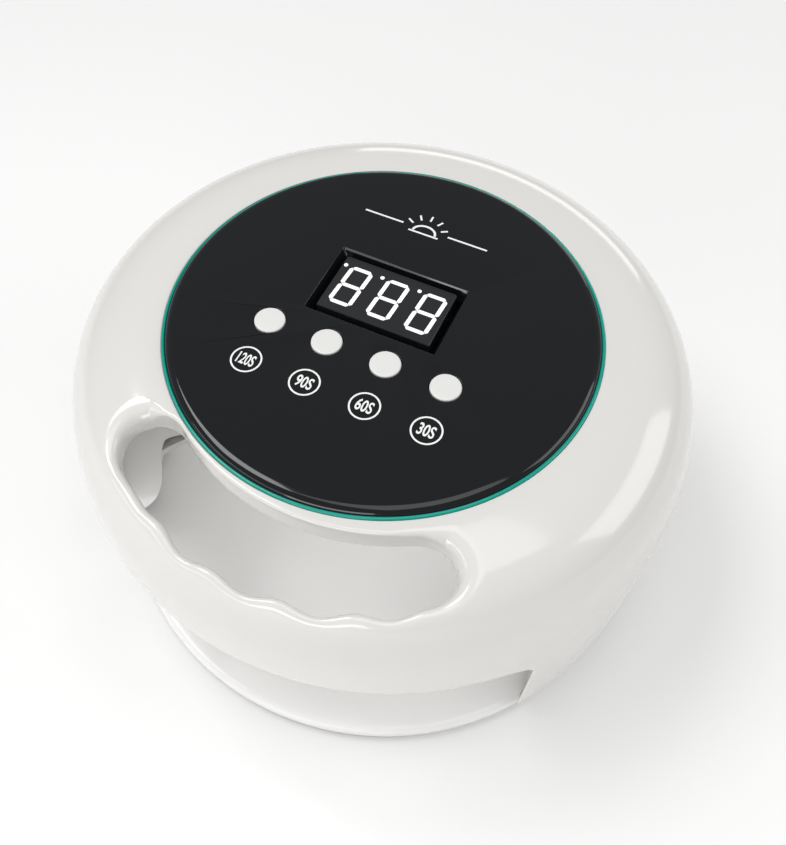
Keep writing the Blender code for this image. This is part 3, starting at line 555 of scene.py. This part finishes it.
gloss_white = finish("gloss white", (0.69, 0.678, 0.655, 1), (0.64, 0.628, 0.605, 1), 0.16, 0.06, bump=0.012,
                     IOR=1.5, Coat_Weight=0.35, Coat_Roughness=0.06)
liner_white = finish("liner white", (0.82, 0.81, 0.80, 1), (0.76, 0.75, 0.735, 1), 0.34, 0.1, bump=0.02)
base_white = finish("base white", (0.84, 0.835, 0.825, 1), (0.78, 0.775, 0.765, 1), 0.22, 0.08, bump=0.015)
panel_black = finish("panel black", (0.004, 0.0055, 0.0068, 1), (0.006, 0.0075, 0.009, 1), 0.08, 0.05, bump=0.004,
                     wave=40.0, IOR=1.45)
# The ring's emission is a painted glow: an even light that stands in for light passing through the translucent teal.
ring_teal_painted_glow = finish("ring teal painted glow", (0.0, 0.27, 0.21, 1), (0.0, 0.2, 0.16, 1), 0.2, 0.08, bump=0.01,
                   Emission_Color=(0.0, 0.55, 0.42, 1), Emission_Strength=0.05)
key_white = finish("key white", (0.71, 0.71, 0.695, 1), (0.66, 0.66, 0.645, 1), 0.32, 0.1, bump=0.01)
display_face = finish("display face", (0.012, 0.013, 0.015, 1), (0.018, 0.019, 0.021, 1), 0.25, 0.1, bump=0.004)
digit_glow = finish("digit glow", (0.8, 0.8, 0.8, 1), None, 0.4, 0.1, bump=0.004,
                    Emission_Color=(1.0, 0.97, 0.98, 1), Emission_Strength=0.35)
# The print's faint emission is a painted glow that keeps the white lettering bright whatever light reaches it.
print_white_painted_glow = finish("print white painted glow", (0.76, 0.76, 0.76, 1), None, 0.45, 0.1, bump=0.004,
                     Emission_Color=(1.0, 1.0, 1.0, 1), Emission_Strength=0.1)
socket_black = finish("socket black", (0.02, 0.02, 0.02, 1), None, 0.4, 0.15, bump=0.02)
rubber = finish("foot rubber", (0.03, 0.03, 0.032, 1), None, 0.75, 0.2, bump=0.05, grain=0.8)
steel = finish("bright steel", (0.62, 0.61, 0.59, 1), (0.5, 0.49, 0.47, 1), 0.3, 0.2, bump=0.01, Metallic=1.0)
nickel = finish("magnet nickel", (0.66, 0.63, 0.58, 1), (0.5, 0.48, 0.44, 1), 0.22, 0.15, bump=0.01, Metallic=1.0)
board_green = finish("board green", (0.02, 0.16, 0.07, 1), (0.015, 0.1, 0.045, 1), 0.45, 0.15, mottle=0.6, wave=220.0,
                     bump=0.03)
light_board = finish("light board", (0.72, 0.72, 0.70, 1), (0.6, 0.6, 0.56, 1), 0.5, 0.1, mottle=0.5, wave=260.0,
                     bump=0.03)
component = finish("component black", (0.02, 0.02, 0.022, 1), (0.05, 0.05, 0.05, 1), 0.4, 0.15, mottle=0.5, wave=300.0,
                   bump=0.03)
cable_red = finish("cable red", (0.45, 0.03, 0.025, 1), (0.3, 0.02, 0.02, 1), 0.4, 0.15, bump=0.02)

shell = skin("dome_shell", [
    (slot_rows, False, True), (dome(*front_outer), False, True), (inner_face(*front_inner), False, True),
    (mouth_rows, False, False), (dome(*back_outer), False, False), (inner_face(*back_inner), False, False),
    (seat_rows(seat_b, seat_outer, seat_inner), False, True), (foot, False, False), (foot_under, False, False),
], [cap_right, cap_left], gloss_white)
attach(shell, "housing")
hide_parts("top_shell")

# %% [markdown]
# ## The grip's inner half
#
# The grip is a tube: the dome outside, and a second moulding inside that closes it from the slot down to the hand
# opening. Its upper edge follows the four finger dents, which fade out towards its lower edge.


# %% Grip cover
def through(points, count):
    """A smooth curve through a few points: a cubic with each tangent set by the two neighbours."""
    p = np.array(points, float)
    p = np.vstack([2 * p[0] - p[1], p, 2 * p[-1] - p[-2]])
    t = np.linspace(0, len(points) - 1 - 1e-9, count)
    i = t.astype(int)
    u = (t - i)[:, None]
    a, b, c, d = p[i], p[i + 1], p[i + 2], p[i + 3]
    return 0.5 * (2 * b + (c - a) * u + (2 * a - 5 * b + 4 * c - d) * u * u + (3 * b - a - 3 * c + d) * u ** 3)


def bar(rows, start, end, count):
    """A closed section of (radius, height, dent share) swept between two bearings in degrees, and its end caps."""
    degrees = np.linspace(start, end, count)
    r = rows[:, 0:1] + rows[:, 2:3] * (grip_radius(degrees) - SLOT_OUT)[None, :]
    pts = place(r, np.radians(degrees)[None, :], rows[:, 1:2] + 0 * r)
    return (pts, True, False), [pts[:, 0], pts[:, -1]]


face_line = through([(87.4, 89.0, 1.0), (86.4, 84.0, 0.75), (85.6, 78.0, 0.5), (85.4, 72.0, 0.3), (86.0, 66.0, 0.1),
                     (87.4, 61.0, 0.0), (89.0, 58.2, 0.0), (90.6, 57.2, 0.0)], 44) * [MM, MM, 1.0]
step = np.gradient(face_line[:, :2], axis=0)
side = np.stack([-step[:, 1], step[:, 0]], -1) / np.linalg.norm(step, axis=1)[:, None]
back_line = np.column_stack([face_line[:, :2] + side * 1.5 * MM, face_line[:, 2]])[::-1]
cover_grid, cover_caps = bar(np.vstack([face_line, back_line]), -42.4, 42.4, 260)
cover = skin("grip_cover", [cover_grid], cover_caps, gloss_white)
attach(cover, "housing")
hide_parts("grip_cover")

# %% [markdown]
# ## The liner and the base
#
# The liner is the bright bowl that the hand goes into: a low dome with its front cut away for the slot, a sloping
# ceiling up to the slot's inner edge, an upright cheek on each side and a flat jamb on each side of the opening. The
# base is a shallow turned tray with a soft rim, and three small steel discs that the housing's magnets hold on to.


# %% Liner and base
def bowl_rows(inset, count=34):
    """Section of the bowl: a quarter oval with its sine and cosine raised to 0.8, which squares its shoulder."""
    t = np.linspace(math.pi / 2, 0, count)
    r = CEILING_R + (LINER_R - inset - CEILING_R) * np.cos(t) ** 0.8
    return np.stack([r, WAIST_Z + (CEILING_Z - inset - WAIST_Z) * np.sin(t) ** 0.8], -1)


liner_foot = BASE_TOP + 2.6 * MM
outer_bowl, inner_bowl = bowl_rows(0.0), bowl_rows(2.0 * MM)
flange = np.array([(LINER_R, liner_foot + 2 * MM), (LINER_R + 4.3 * MM, liner_foot + 2 * MM),
                   (LINER_R + 4.3 * MM, liner_foot), (LINER_R - 2 * MM, liner_foot)])
bowl = np.vstack([outer_bowl, flange, inner_bowl[::-1]])
bowl = np.column_stack([bowl, 0 * bowl[:, 0]])
parts, caps = [], []
jamb_x = MOUTH_HALF + 0.1 * MM
low = 1 - smooth(bowl[:, 1], MOUTH_TOP - 4 * MM, MOUTH_TOP)
upper_start = np.radians(43.0)
start = upper_start + low * (np.arcsin(jamb_x / np.maximum(bowl[:, 0], jamb_x)) - upper_start)
turn_by = start[:, None] + (math.tau - 2 * start[:, None]) * np.linspace(0, 1, 220)[None, :]
bowl_pts = place(bowl[:, 0:1] + 0 * turn_by, turn_by, bowl[:, 1:2] + 0 * turn_by)
parts.append((bowl_pts, True, False))
caps += [bowl_pts[:, 0], bowl_pts[:, -1]]
ceiling_b = np.linspace(0, math.tau, 120, endpoint=False)[None, :]
ceiling_r = np.array([0, CEILING_R, CEILING_R, 0])[:, None]
ceiling_z = np.array([CEILING_Z, CEILING_Z, CEILING_Z - 2 * MM, CEILING_Z - 2 * MM])[:, None]
parts.append((place(ceiling_r, ceiling_b, ceiling_z), False, True))
ramp_line = np.array([(46.0, 78.4, 0), (63.4, 96.2, 0), (63.6, 99.0, 0), (61.4, 99.4, 0), (61.2, 97.0, 0),
                      (46.0, 79.8, 0)])
grid, ends = bar(ramp_line * [MM, MM, 1], -44.0, 44.0, 90)
parts.append(grid)
caps += ends
for side in (-1, 1):
    tops = [(r * MM, float(dome_height(r * MM)) - 3.4 * MM) for r in (66.0, 70.0, 77.0, 84.0)]
    outs = [(92.0 * MM, z * MM) for z in (90.0, 76.0, 59.0)]
    lows = [(r * MM, z * MM) for r, z in ((89.0, 50.0), (84.5, 46.5), (79.0, 50.8), (75.6, 58.0), (73.6, 67.0),
                                          (71.8, 76.5), (69.5, 83.0), (60.0, 81.0))]
    plate = np.array([(46.5 * MM, CEILING_Z - 1 * MM), (62.4 * MM, 98.6 * MM)] + tops + outs + lows)
    edge = along(np.vstack([plate, plate[:1]]), 121)[:-1]
    for _ in range(3):
        edge = (np.roll(edge, 1, 0) + 2 * edge + np.roll(edge, -1, 0)) / 4
    faces = [place(edge[:, 0], math.radians(side * d), edge[:, 1]) for d in (42.6, 44.6)]
    parts.append((np.stack(faces, 1), True, False))
    caps += faces
    x0, x1 = sorted((side * jamb_x, side * (jamb_x + 1.8 * MM)))
    y_out, y_in = -53.2 * MM, -38.0 * MM
    box = np.array([[(x, y, z) for x, y in ((x0, y_out), (x1, y_out), (x1, y_in), (x0, y_in))]
                    for z in (liner_foot, MOUTH_TOP - 2 * MM)])
    parts.append((box, False, True))
    caps += [box[0], box[1]]
liner = skin("liner", parts, caps, liner_white, sharp=30.0)
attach(liner, "housing")
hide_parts("inner_liner")
print("the bowl starts at bearings of", np.degrees([start.min(), start.max()]).round(1), "degrees")


def cut(obj, cutters, bevel=0.0, sharp=30.0, flat_tops=False):
    """Cut closed helpers out of a piece, round the new edges if asked, and bake the result into its mesh.

    With flat_tops, level faces are shaded flat, so that a cut leaves no rays across them."""
    for cutter in cutters:
        modifier = obj.modifiers.new("cut", "BOOLEAN")
        modifier.object, modifier.operation, modifier.solver = cutter, "DIFFERENCE", "EXACT"
    if bevel:
        modifier = obj.modifiers.new("soften", "BEVEL")
        modifier.width, modifier.segments, modifier.limit_method = bevel, 3, "ANGLE"
        modifier.angle_limit, modifier.use_clamp_overlap = math.radians(42), False
    depsgraph = bpy.context.evaluated_depsgraph_get()
    depsgraph.update()
    mesh = bpy.data.meshes.new_from_object(obj.evaluated_get(depsgraph), depsgraph=depsgraph)
    obj.modifiers.clear()
    obj.data = mesh
    normals = np.empty(3 * len(mesh.polygons), np.float32)
    mesh.polygons.foreach_get("normal", normals)
    level = flat_tops & (np.abs(normals[2::3]) > 0.99999)
    mesh.polygons.foreach_set("use_smooth", ~level)
    mesh.set_sharp_from_angle(angle=math.radians(sharp))
    for cutter in cutters:
        bpy.data.objects.remove(cutter)
    print(f"{obj.name}: {len(mesh.polygons)} faces after cutting")


rim = FOOT_R - 1.0 * MM
base_rows = rounded_profile([(0, BASE_TOP, 0), (60 * MM, BASE_TOP, 0), (rim - 4 * MM, BASE_TOP, 0),
                             (rim, BASE_TOP, 2.4 * MM), (rim, 1.5 * MM, 0.8 * MM), (rim - WALL, 1.5 * MM, 0.5 * MM),
                             (rim - WALL, BASE_TOP - WALL, 0.8 * MM), (40 * MM, BASE_TOP - WALL, 0),
                             (0, BASE_TOP - WALL, 0)])
base = turned_skin("base_plate", base_rows, 240, base_white, oval=True)
pockets = []
for bearing in (-110, 110, 180):
    spot = place(LINER_R + 1.2 * MM, math.radians(bearing), 0.0)
    pocket_rows = [(0, 5.1 * MM), (3.4 * MM, 5.1 * MM), (3.4 * MM, 9 * MM), (0, 9 * MM)]
    pockets.append(turned_skin("pocket", pocket_rows, 32, None, centre=spot[:2]))
cut(base, pockets, 0.15 * MM, flat_tops=True)
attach(base, "base")
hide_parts("base_plate")

# %% [markdown]
# ## Ring, panel and display
#
# The teal ring sits in the pocket on top of the dome. Inside it lies the black lens, flat in the middle and rounded at
# its rim, with a bevelled opening round the display and four round holes for the keys.

# %% Ring and panel
ring_r = SEAT_R - 0.05 * MM
lens_r = ring_r - 0.8 * MM
inner_r = lens_r - 0.1 * MM
ring_rows = rounded_profile([(inner_r, 102.6 * MM, 0), (ring_r, 102.6 * MM, 0), (ring_r, 105.3 * MM, 0.5 * MM),
                             (inner_r, 105.3 * MM, 0.3 * MM), (inner_r, 103.0 * MM, 0)])
ring = turned_skin("teal_ring", ring_rows, 256, ring_teal_painted_glow, oval=True)
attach(ring, "housing")
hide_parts("accent_ring")

panel_rows = rounded_profile([(0, PANEL_TOP, 0), (57.2 * MM, PANEL_TOP, 0), (60.0 * MM, PANEL_TOP, 0),
                              (lens_r, PANEL_TOP, 2.6 * MM), (lens_r, 102.7 * MM, 0.3 * MM), (50 * MM, 102.7 * MM, 0),
                              (0, 102.7 * MM, 0)])
panel = turned_skin("panel_lens", panel_rows, 256, panel_black, oval=True)
DISPLAY_X = CONTROL_X - 0.5 * MM
DISPLAY_Y = 7.1 * MM
DISPLAY_HALF = np.array([18.0, 10.5]) * MM


def rounded_rectangle(half_x, half_y, radius, steps=5):
    """Corner arcs of a rectangle, anticlockwise."""
    t = np.linspace(0, math.pi / 2, steps + 1)
    arcs = []
    for k, (sx, sy) in enumerate(((1, 1), (-1, 1), (-1, -1), (1, -1))):
        a = t + k * math.pi / 2
        x, y = sx * (half_x - radius) + radius * np.cos(a), sy * (half_y - radius) + radius * np.sin(a)
        arcs.append(np.stack([x, y], -1))
    return np.concatenate(arcs)


def plate_skin(name, levels, material, centre, sharp=30.0):
    """Upright-sided block from outlines at several heights: (half x, half y, corner radius, height)."""
    rows = []
    for half_x, half_y, radius, z in levels:
        line = rounded_rectangle(half_x, half_y, radius)
        rows.append(np.column_stack([line + centre, np.full(len(line), z)]))
    rows = np.stack(rows)
    return skin(name, [(rows, False, True)], [rows[0], rows[-1]], material, sharp)


window_levels = [(18.5 * MM, 11.0 * MM, 0.3 * MM, 102.2 * MM), (20.75 * MM, 13.0 * MM, 0.4 * MM, PANEL_TOP),
                 (21.0 * MM, 13.25 * MM, 0.4 * MM, PANEL_TOP + 0.5 * MM)]
window = plate_skin("window", window_levels, None, (DISPLAY_X, DISPLAY_Y))
hole_r = KEY_R + 0.3 * MM
hole_rows = [(0, 101 * MM), (hole_r, 101 * MM), (hole_r, 108 * MM), (0, 108 * MM)]
holes = [turned_skin("key_hole", hole_rows, 64, None, centre=(x, KEY_Y)) for x in KEY_X]
cut(panel, [window] + holes, 0.12 * MM, flat_tops=True)
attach(panel, "housing")
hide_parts("control_panel")

hx, hy = DISPLAY_HALF
levels = [(hx, hy, 0.4 * MM, 95 * MM), (hx, hy, 0.4 * MM, PANEL_TOP - 0.8 * MM)]
levels += [(hx - 0.4 * MM * (1 - math.cos(t)), hy - 0.4 * MM * (1 - math.cos(t)), 0.4 * MM,
            PANEL_TOP - 0.8 * MM + 0.4 * MM * math.sin(t)) for t in np.linspace(0.3, math.pi / 2, 5)]
display = plate_skin("display", levels, display_face, (DISPLAY_X, DISPLAY_Y))
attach(display, "housing")
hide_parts("display_module")
display_top = PANEL_TOP - 0.4 * MM


def frame_rows(half_x, half_y, width, z, thick):
    """A thin raised border: outer and inner outlines of a rectangle at two heights."""
    out = rounded_rectangle(half_x, half_y, 0.5 * MM)
    inn = rounded_rectangle(half_x - width, half_y - width, 0.3 * MM)
    rows = [np.column_stack([line + (DISPLAY_X, DISPLAY_Y), np.full(len(line), h)])
            for line, h in ((out, z), (out, z + thick), (inn, z + thick), (inn, z))]
    return np.stack(rows)


frame_line = finish("display frame", (0.10, 0.10, 0.105, 1), (0.07, 0.07, 0.075, 1), 0.22, 0.1, bump=0.003,
                    Metallic=1.0)
border_rows = frame_rows(hx - 0.15 * MM, hy - 0.15 * MM, 0.4 * MM, display_top - 0.03 * MM, 0.08 * MM)
border = skin("display_border", [(border_rows, True, True)], (), frame_line)
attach(border, "housing")

# %% [markdown]
# ## Digits, keys and printing
#
# The display shows three seven-segment eights, each with a dot at its upper left. A segment is a bar with pointed
# ends, so that neighbours meet along a thin dark line. The keys are plain white discs. Under each key its time is
# printed in a ring; above the display there is a plain lamp symbol between two short lines.


# %% Digits
def segment(length, width):
    """Pointed bar along X about its own middle, anticlockwise."""
    a, w = length / 2, width / 2
    return np.array([(-a, 0), (-a + w, -w), (a - w, -w), (a, 0), (a - w, w), (-a + w, w)])


def flat_prisms(outlines, z, thick, name, material):
    """Thin upright prisms from plan outlines, as one object."""
    grids, polygons = [], []
    for line in outlines:
        rows = np.stack([np.column_stack([line, np.full(len(line), h)]) for h in (z, z + thick)])
        grids.append((rows, False, True))
        polygons += [rows[0], rows[1]]
    return skin(name, grids, polygons, material, sharp=30.0)


def disc(x, y, radius, steps=32):
    """Points of a circle, anticlockwise."""
    t = np.linspace(0, math.tau, steps, endpoint=False)
    return np.stack([x + radius * np.cos(t), y + radius * np.sin(t)], -1)


DIGIT_H, DIGIT_W, STROKE, SLANT = 14.0 * MM, 6.3 * MM, 1.25 * MM, 0.06
bars = []
for cx in (-14.2 * MM, -2.1 * MM, 10.0 * MM):
    for x, y, upright in ((0, 1, 0), (0, 0, 0), (0, -1, 0), (-1, 0.5, 1), (1, 0.5, 1), (-1, -0.5, 1), (1, -0.5, 1)):
        line = segment((DIGIT_H / 2 if upright else DIGIT_W) - 0.25 * MM, STROKE)
        line = line[:, ::-1] * (1, -1) if upright else line
        line = line + (x * DIGIT_W / 2, y * DIGIT_H / 2)
        line[:, 0] += SLANT * line[:, 1]
        bars.append(line + (cx, 7.0 * MM))
    bars.append(disc(cx - 5.1 * MM, 14.1 * MM, 0.65 * MM))
digits = flat_prisms(bars, display_top - 0.05 * MM, 0.09 * MM, "digits", digit_glow)
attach(digits, "housing")

# %% Keys
for x, label in zip(KEY_X, ("120", "90", "60", "30")):
    key_top = PANEL_TOP + 0.4 * MM
    rows = rounded_profile([(0, key_top, 0), (2.5 * MM, key_top, 0), (KEY_R, key_top, 0.5 * MM),
                            (KEY_R, 102.4 * MM, 0.1 * MM), (KEY_R + 1.2 * MM, 102.4 * MM, 0),
                            (KEY_R + 1.2 * MM, 101.4 * MM, 0), (2 * MM, 101.4 * MM, 0),
                            (2 * MM, 100.0 * MM, 0), (0, 100.0 * MM, 0)])
    key = turned_skin(f"key_cap_{label}", rows, 72, key_white, centre=(x, KEY_Y))
    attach(key, f"key_{label}")
    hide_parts(f"key_{label}s")


# %% Printing
def flat_text(words, x, y, height, squeeze):
    """A line of plain lettering as a flat mesh, centred on a place of the panel."""
    curve = bpy.data.curves.new(words, "FONT")
    curve.body, curve.size, curve.extrude, curve.offset = words, height / 0.7, 0.02 * MM, 0.09 * MM
    curve.align_x, curve.align_y = "CENTER", "CENTER"
    holder = bpy.data.objects.new(words, curve)
    bpy.context.scene.collection.objects.link(holder)
    depsgraph = bpy.context.evaluated_depsgraph_get()
    mesh = bpy.data.meshes.new_from_object(holder.evaluated_get(depsgraph), depsgraph=depsgraph)
    bpy.data.objects.remove(holder)
    co = np.empty(len(mesh.vertices) * 3)
    mesh.vertices.foreach_get("co", co)
    co = co.reshape(-1, 3)
    co[:, :2] -= (co[:, :2].min(0) + co[:, :2].max(0)) / 2
    co[:, 0] *= squeeze
    co += (x, y, PANEL_TOP + 0.02 * MM)
    mesh.vertices.foreach_set("co", co.ravel())
    mesh.materials.clear()
    mesh.materials.append(print_white_painted_glow)
    obj = bpy.data.objects.new(f"print_{words}", mesh)
    bpy.context.scene.collection.objects.link(obj)
    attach(obj, "housing")
    return obj


def circle_line(x, y, radius, width, steps=64):
    """Rows of a thin flat ring: outer and inner circle at two heights."""
    low, high = PANEL_TOP - 0.01 * MM, PANEL_TOP + 0.04 * MM
    rows = [np.column_stack([disc(x, y, r, steps), np.full(steps, h)])
            for r, h in ((radius, low), (radius, high), (radius - width, high), (radius - width, low))]
    return np.stack(rows), True, True


LABEL_Y = -29.9 * MM
rings = [circle_line(x + 0.9 * MM, LABEL_Y, 4.5 * MM, 0.5 * MM) for x in KEY_X]
for x, words in zip(KEY_X, ("120S", "90S", "60S", "30S")):
    flat_text(words, x + 0.9 * MM, LABEL_Y, 3.7 * MM, 0.56 if len(words) == 4 else 0.66)
marks = []
for x0, x1 in ((-24.0, -11.0), (4.0, 17.0)):
    marks.append(np.array([(x0, 37.2), (x1, 37.2), (x1, 37.8), (x0, 37.8)]) * MM)
t = np.linspace(0, math.pi, 25)
dome_mark = np.concatenate([np.stack([-3.5 + 4.0 * np.cos(t), 36.0 + 3.2 * np.sin(t)], -1),
                            np.stack([-3.5 - 3.3 * np.cos(t), 36.0 + 2.5 * np.sin(t)], -1)]) * MM
marks.append(dome_mark)
marks.append(np.array([(-8.4, 35.2), (1.4, 35.2), (1.4, 35.8), (-8.4, 35.8)]) * MM)
for angle in (30, 60, 90, 120, 150):
    c, s_ = math.cos(math.radians(angle)), math.sin(math.radians(angle))
    away = np.array([(5.4, -0.3), (7.6, -0.3), (7.6, 0.3), (5.4, 0.3)])
    marks.append((away @ np.array([(c, s_), (-s_, c)]) + (-3.5, 36.0)) * MM)
grids, polygons = [], []
for line in marks:
    heights = (PANEL_TOP - 0.01 * MM, PANEL_TOP + 0.04 * MM)
    rows = np.stack([np.column_stack([line, np.full(len(line), h)]) for h in heights])
    grids.append((rows, False, True))
    polygons += [rows[0], rows[1]]
symbols = skin("printed_rings_and_symbol", rings + grids, polygons, print_white_painted_glow, sharp=30.0)
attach(symbols, "housing")

# %% [markdown]
# ## The inlet, the fastenings and the boards
#
# The power inlet is a round black socket at the back with a steel pin, so the dome gets a hole there. The pieces that
# hardly show keep their CAD shape and get a finish of their own: screws, magnets, feet, boards, lamps and leads.

# %% Inlet
def along_back(rows, steps, material, name):
    """A (radius, distance from the middle) profile turned round the inlet's axis, which runs to the back."""
    r, y = np.array(rows, float).T
    a = np.linspace(0, math.tau, steps, endpoint=False)[None, :]
    pts = np.stack([r[:, None] * np.cos(a), y[:, None] + 0 * a, JACK_Z + r[:, None] * np.sin(a)], -1)
    return skin(name, [(pts, r[0] > 0 and r[-1] > 0, True)], material=material, sharp=30.0)


JACK_Z = CEILING_Z - 1.5 * MM
jack_low, jack_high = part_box("dc_jack")
back_y = float(dome(np.array([math.pi]), height_to_s(np.array([JACK_Z])))[0, 1])
print("inlet box in mm:", np.round(np.array([jack_low, jack_high]) * 1000, 1), "wall at", round(back_y * 1000, 1))
inner_y = back_y - 9 * MM
hole_rows = [(0, inner_y), (4.7 * MM, inner_y), (4.7 * MM, back_y + 6 * MM), (0, back_y + 6 * MM)]
hole = along_back(hole_rows, 64, None, "inlet_hole")
cut(shell, [hole], 0.0, 38.0)
barrel = rounded_profile([(2.9 * MM, inner_y, 0), (4.4 * MM, inner_y, 0), (4.4 * MM, back_y - 0.4 * MM, 0.4 * MM),
                          (2.9 * MM, back_y - 0.4 * MM, 0.4 * MM), (2.9 * MM, back_y - 8.5 * MM, 0)])
socket = along_back(barrel, 64, socket_black, "inlet_barrel")
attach(socket, "housing")
pin = along_back([(0, inner_y), (0.95 * MM, inner_y), (0.95 * MM, back_y - 2.2 * MM),
                  (0.6 * MM, back_y - 1.7 * MM), (0, back_y - 1.6 * MM)], 32, steel, "inlet_pin")
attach(pin, "housing")

# %% Finishes of the CAD pieces
CARRIED = (("screw", steel), ("strike", steel), ("magnet", nickel), ("foot", rubber), ("led_board", light_board),
           ("control_board", board_green), ("driver_board", board_green), ("buzzer", component), ("switch", component),
           ("hand_sensor", component), ("dc_jack", socket_black), ("inlet_lead", cable_red),
           ("control_lead", cable_red), ("light_lead", cable_red))
for name, obj in nodes.items():
    for start, mat in CARRIED:
        if name.startswith(start):
            for holder in obj.material_slots:
                holder.material = mat
            break
print("carried over:", sum(name.startswith(tuple(s for s, _ in CARRIED)) for name in nodes))

# %% [markdown]
# ## Camera, floor and light
#
# A pale floor lies under the lamp. A window of light stands low to the right and draws the soft band over the dome's
# shoulder. A long low light at the front left draws the thin line along the grip, two broad lights above do most of
# the lighting, and small ones fill the hand opening, the back and the inside of the bowl. The level panel mirrors
# whatever stands behind the lamp, so no light stands there high up. Light levels are shown as they are, without a
# film curve.

# %% Camera
camera_data = bpy.data.cameras.new("camera")
camera_data.lens = 38.44
camera_data.sensor_width = 36.0
camera_data.sensor_fit = "AUTO"
camera = bpy.data.objects.new("camera", camera_data)
bpy.context.scene.collection.objects.link(camera)
right = Vector((0.90724562, 0.42028281, 0.01636313))
down = Vector((0.36061925, -0.75725167, -0.54453987))
ahead = Vector((-0.21646974, 0.49993227, -0.83857533))
turn = Matrix((right, -down, -ahead)).transposed().to_4x4()
camera.matrix_world = Matrix.Translation((0.06940441, -0.15168374, 0.30855496)) @ turn
bpy.context.scene.camera = camera
bpy.context.scene.view_settings.view_transform = "Standard"

# %% Floor
floor_paint = finish("floor", (0.86, 0.86, 0.86, 1), (0.84, 0.84, 0.84, 1), 0.6, 0.05, mottle=0.3, wave=3.0, bump=0.0)
floor_points = np.array([[(x, y, 0.0) for x in (-3.0, 3.0)] for y in (-3.0, 3.0)])
floor = skin("floor", [(floor_points, False, False)], material=floor_paint)

# %% Light
world = bpy.data.worlds.new("studio")
bpy.context.scene.world = world
world.use_nodes = True
world.node_tree.nodes["Background"].inputs["Color"].default_value = (1.0, 0.995, 0.985, 1)
world.node_tree.nodes["Background"].inputs["Strength"].default_value = 0.36


def soft_light(name, bearing, elevation, distance, size, energy, colour=(1, 1, 1)):
    """A rectangular light that faces the lamp from a bearing and elevation in degrees."""
    data = bpy.data.lights.new(name, "AREA")
    data.shape, data.size, data.size_y, data.energy, data.color = "RECTANGLE", size[0], size[1], energy, colour
    obj = bpy.data.objects.new(name, data)
    bpy.context.scene.collection.objects.link(obj)
    a, e = math.radians(bearing), math.radians(elevation)
    away = Vector((math.sin(a) * math.cos(e), -math.cos(a) * math.cos(e), math.sin(e)))
    obj.location = away * distance + Vector((0, 0, 0.06))
    obj.rotation_euler = away.to_track_quat("Z", "Y").to_euler()
    obj.visible_camera = False


soft_light("window", 112, 27, 0.9, (0.62, 0.42), 2.0)
soft_light("front strip", -36, 13, 0.9, (0.85, 0.10), 0.85)
soft_light("mouth fill", 4, 9, 0.8, (0.5, 0.2), 1.6)
soft_light("overhead", -82, 62, 1.1, (0.6, 0.45), 5.6)
soft_light("sky", 60, 78, 1.4, (1.0, 1.0), 5.6)
soft_light("back strip", 185, 12, 1.1, (0.9, 0.16), 1.0)
soft_light("inside", 0, 89.9, 0.012, (0.09, 0.09), 0.024)
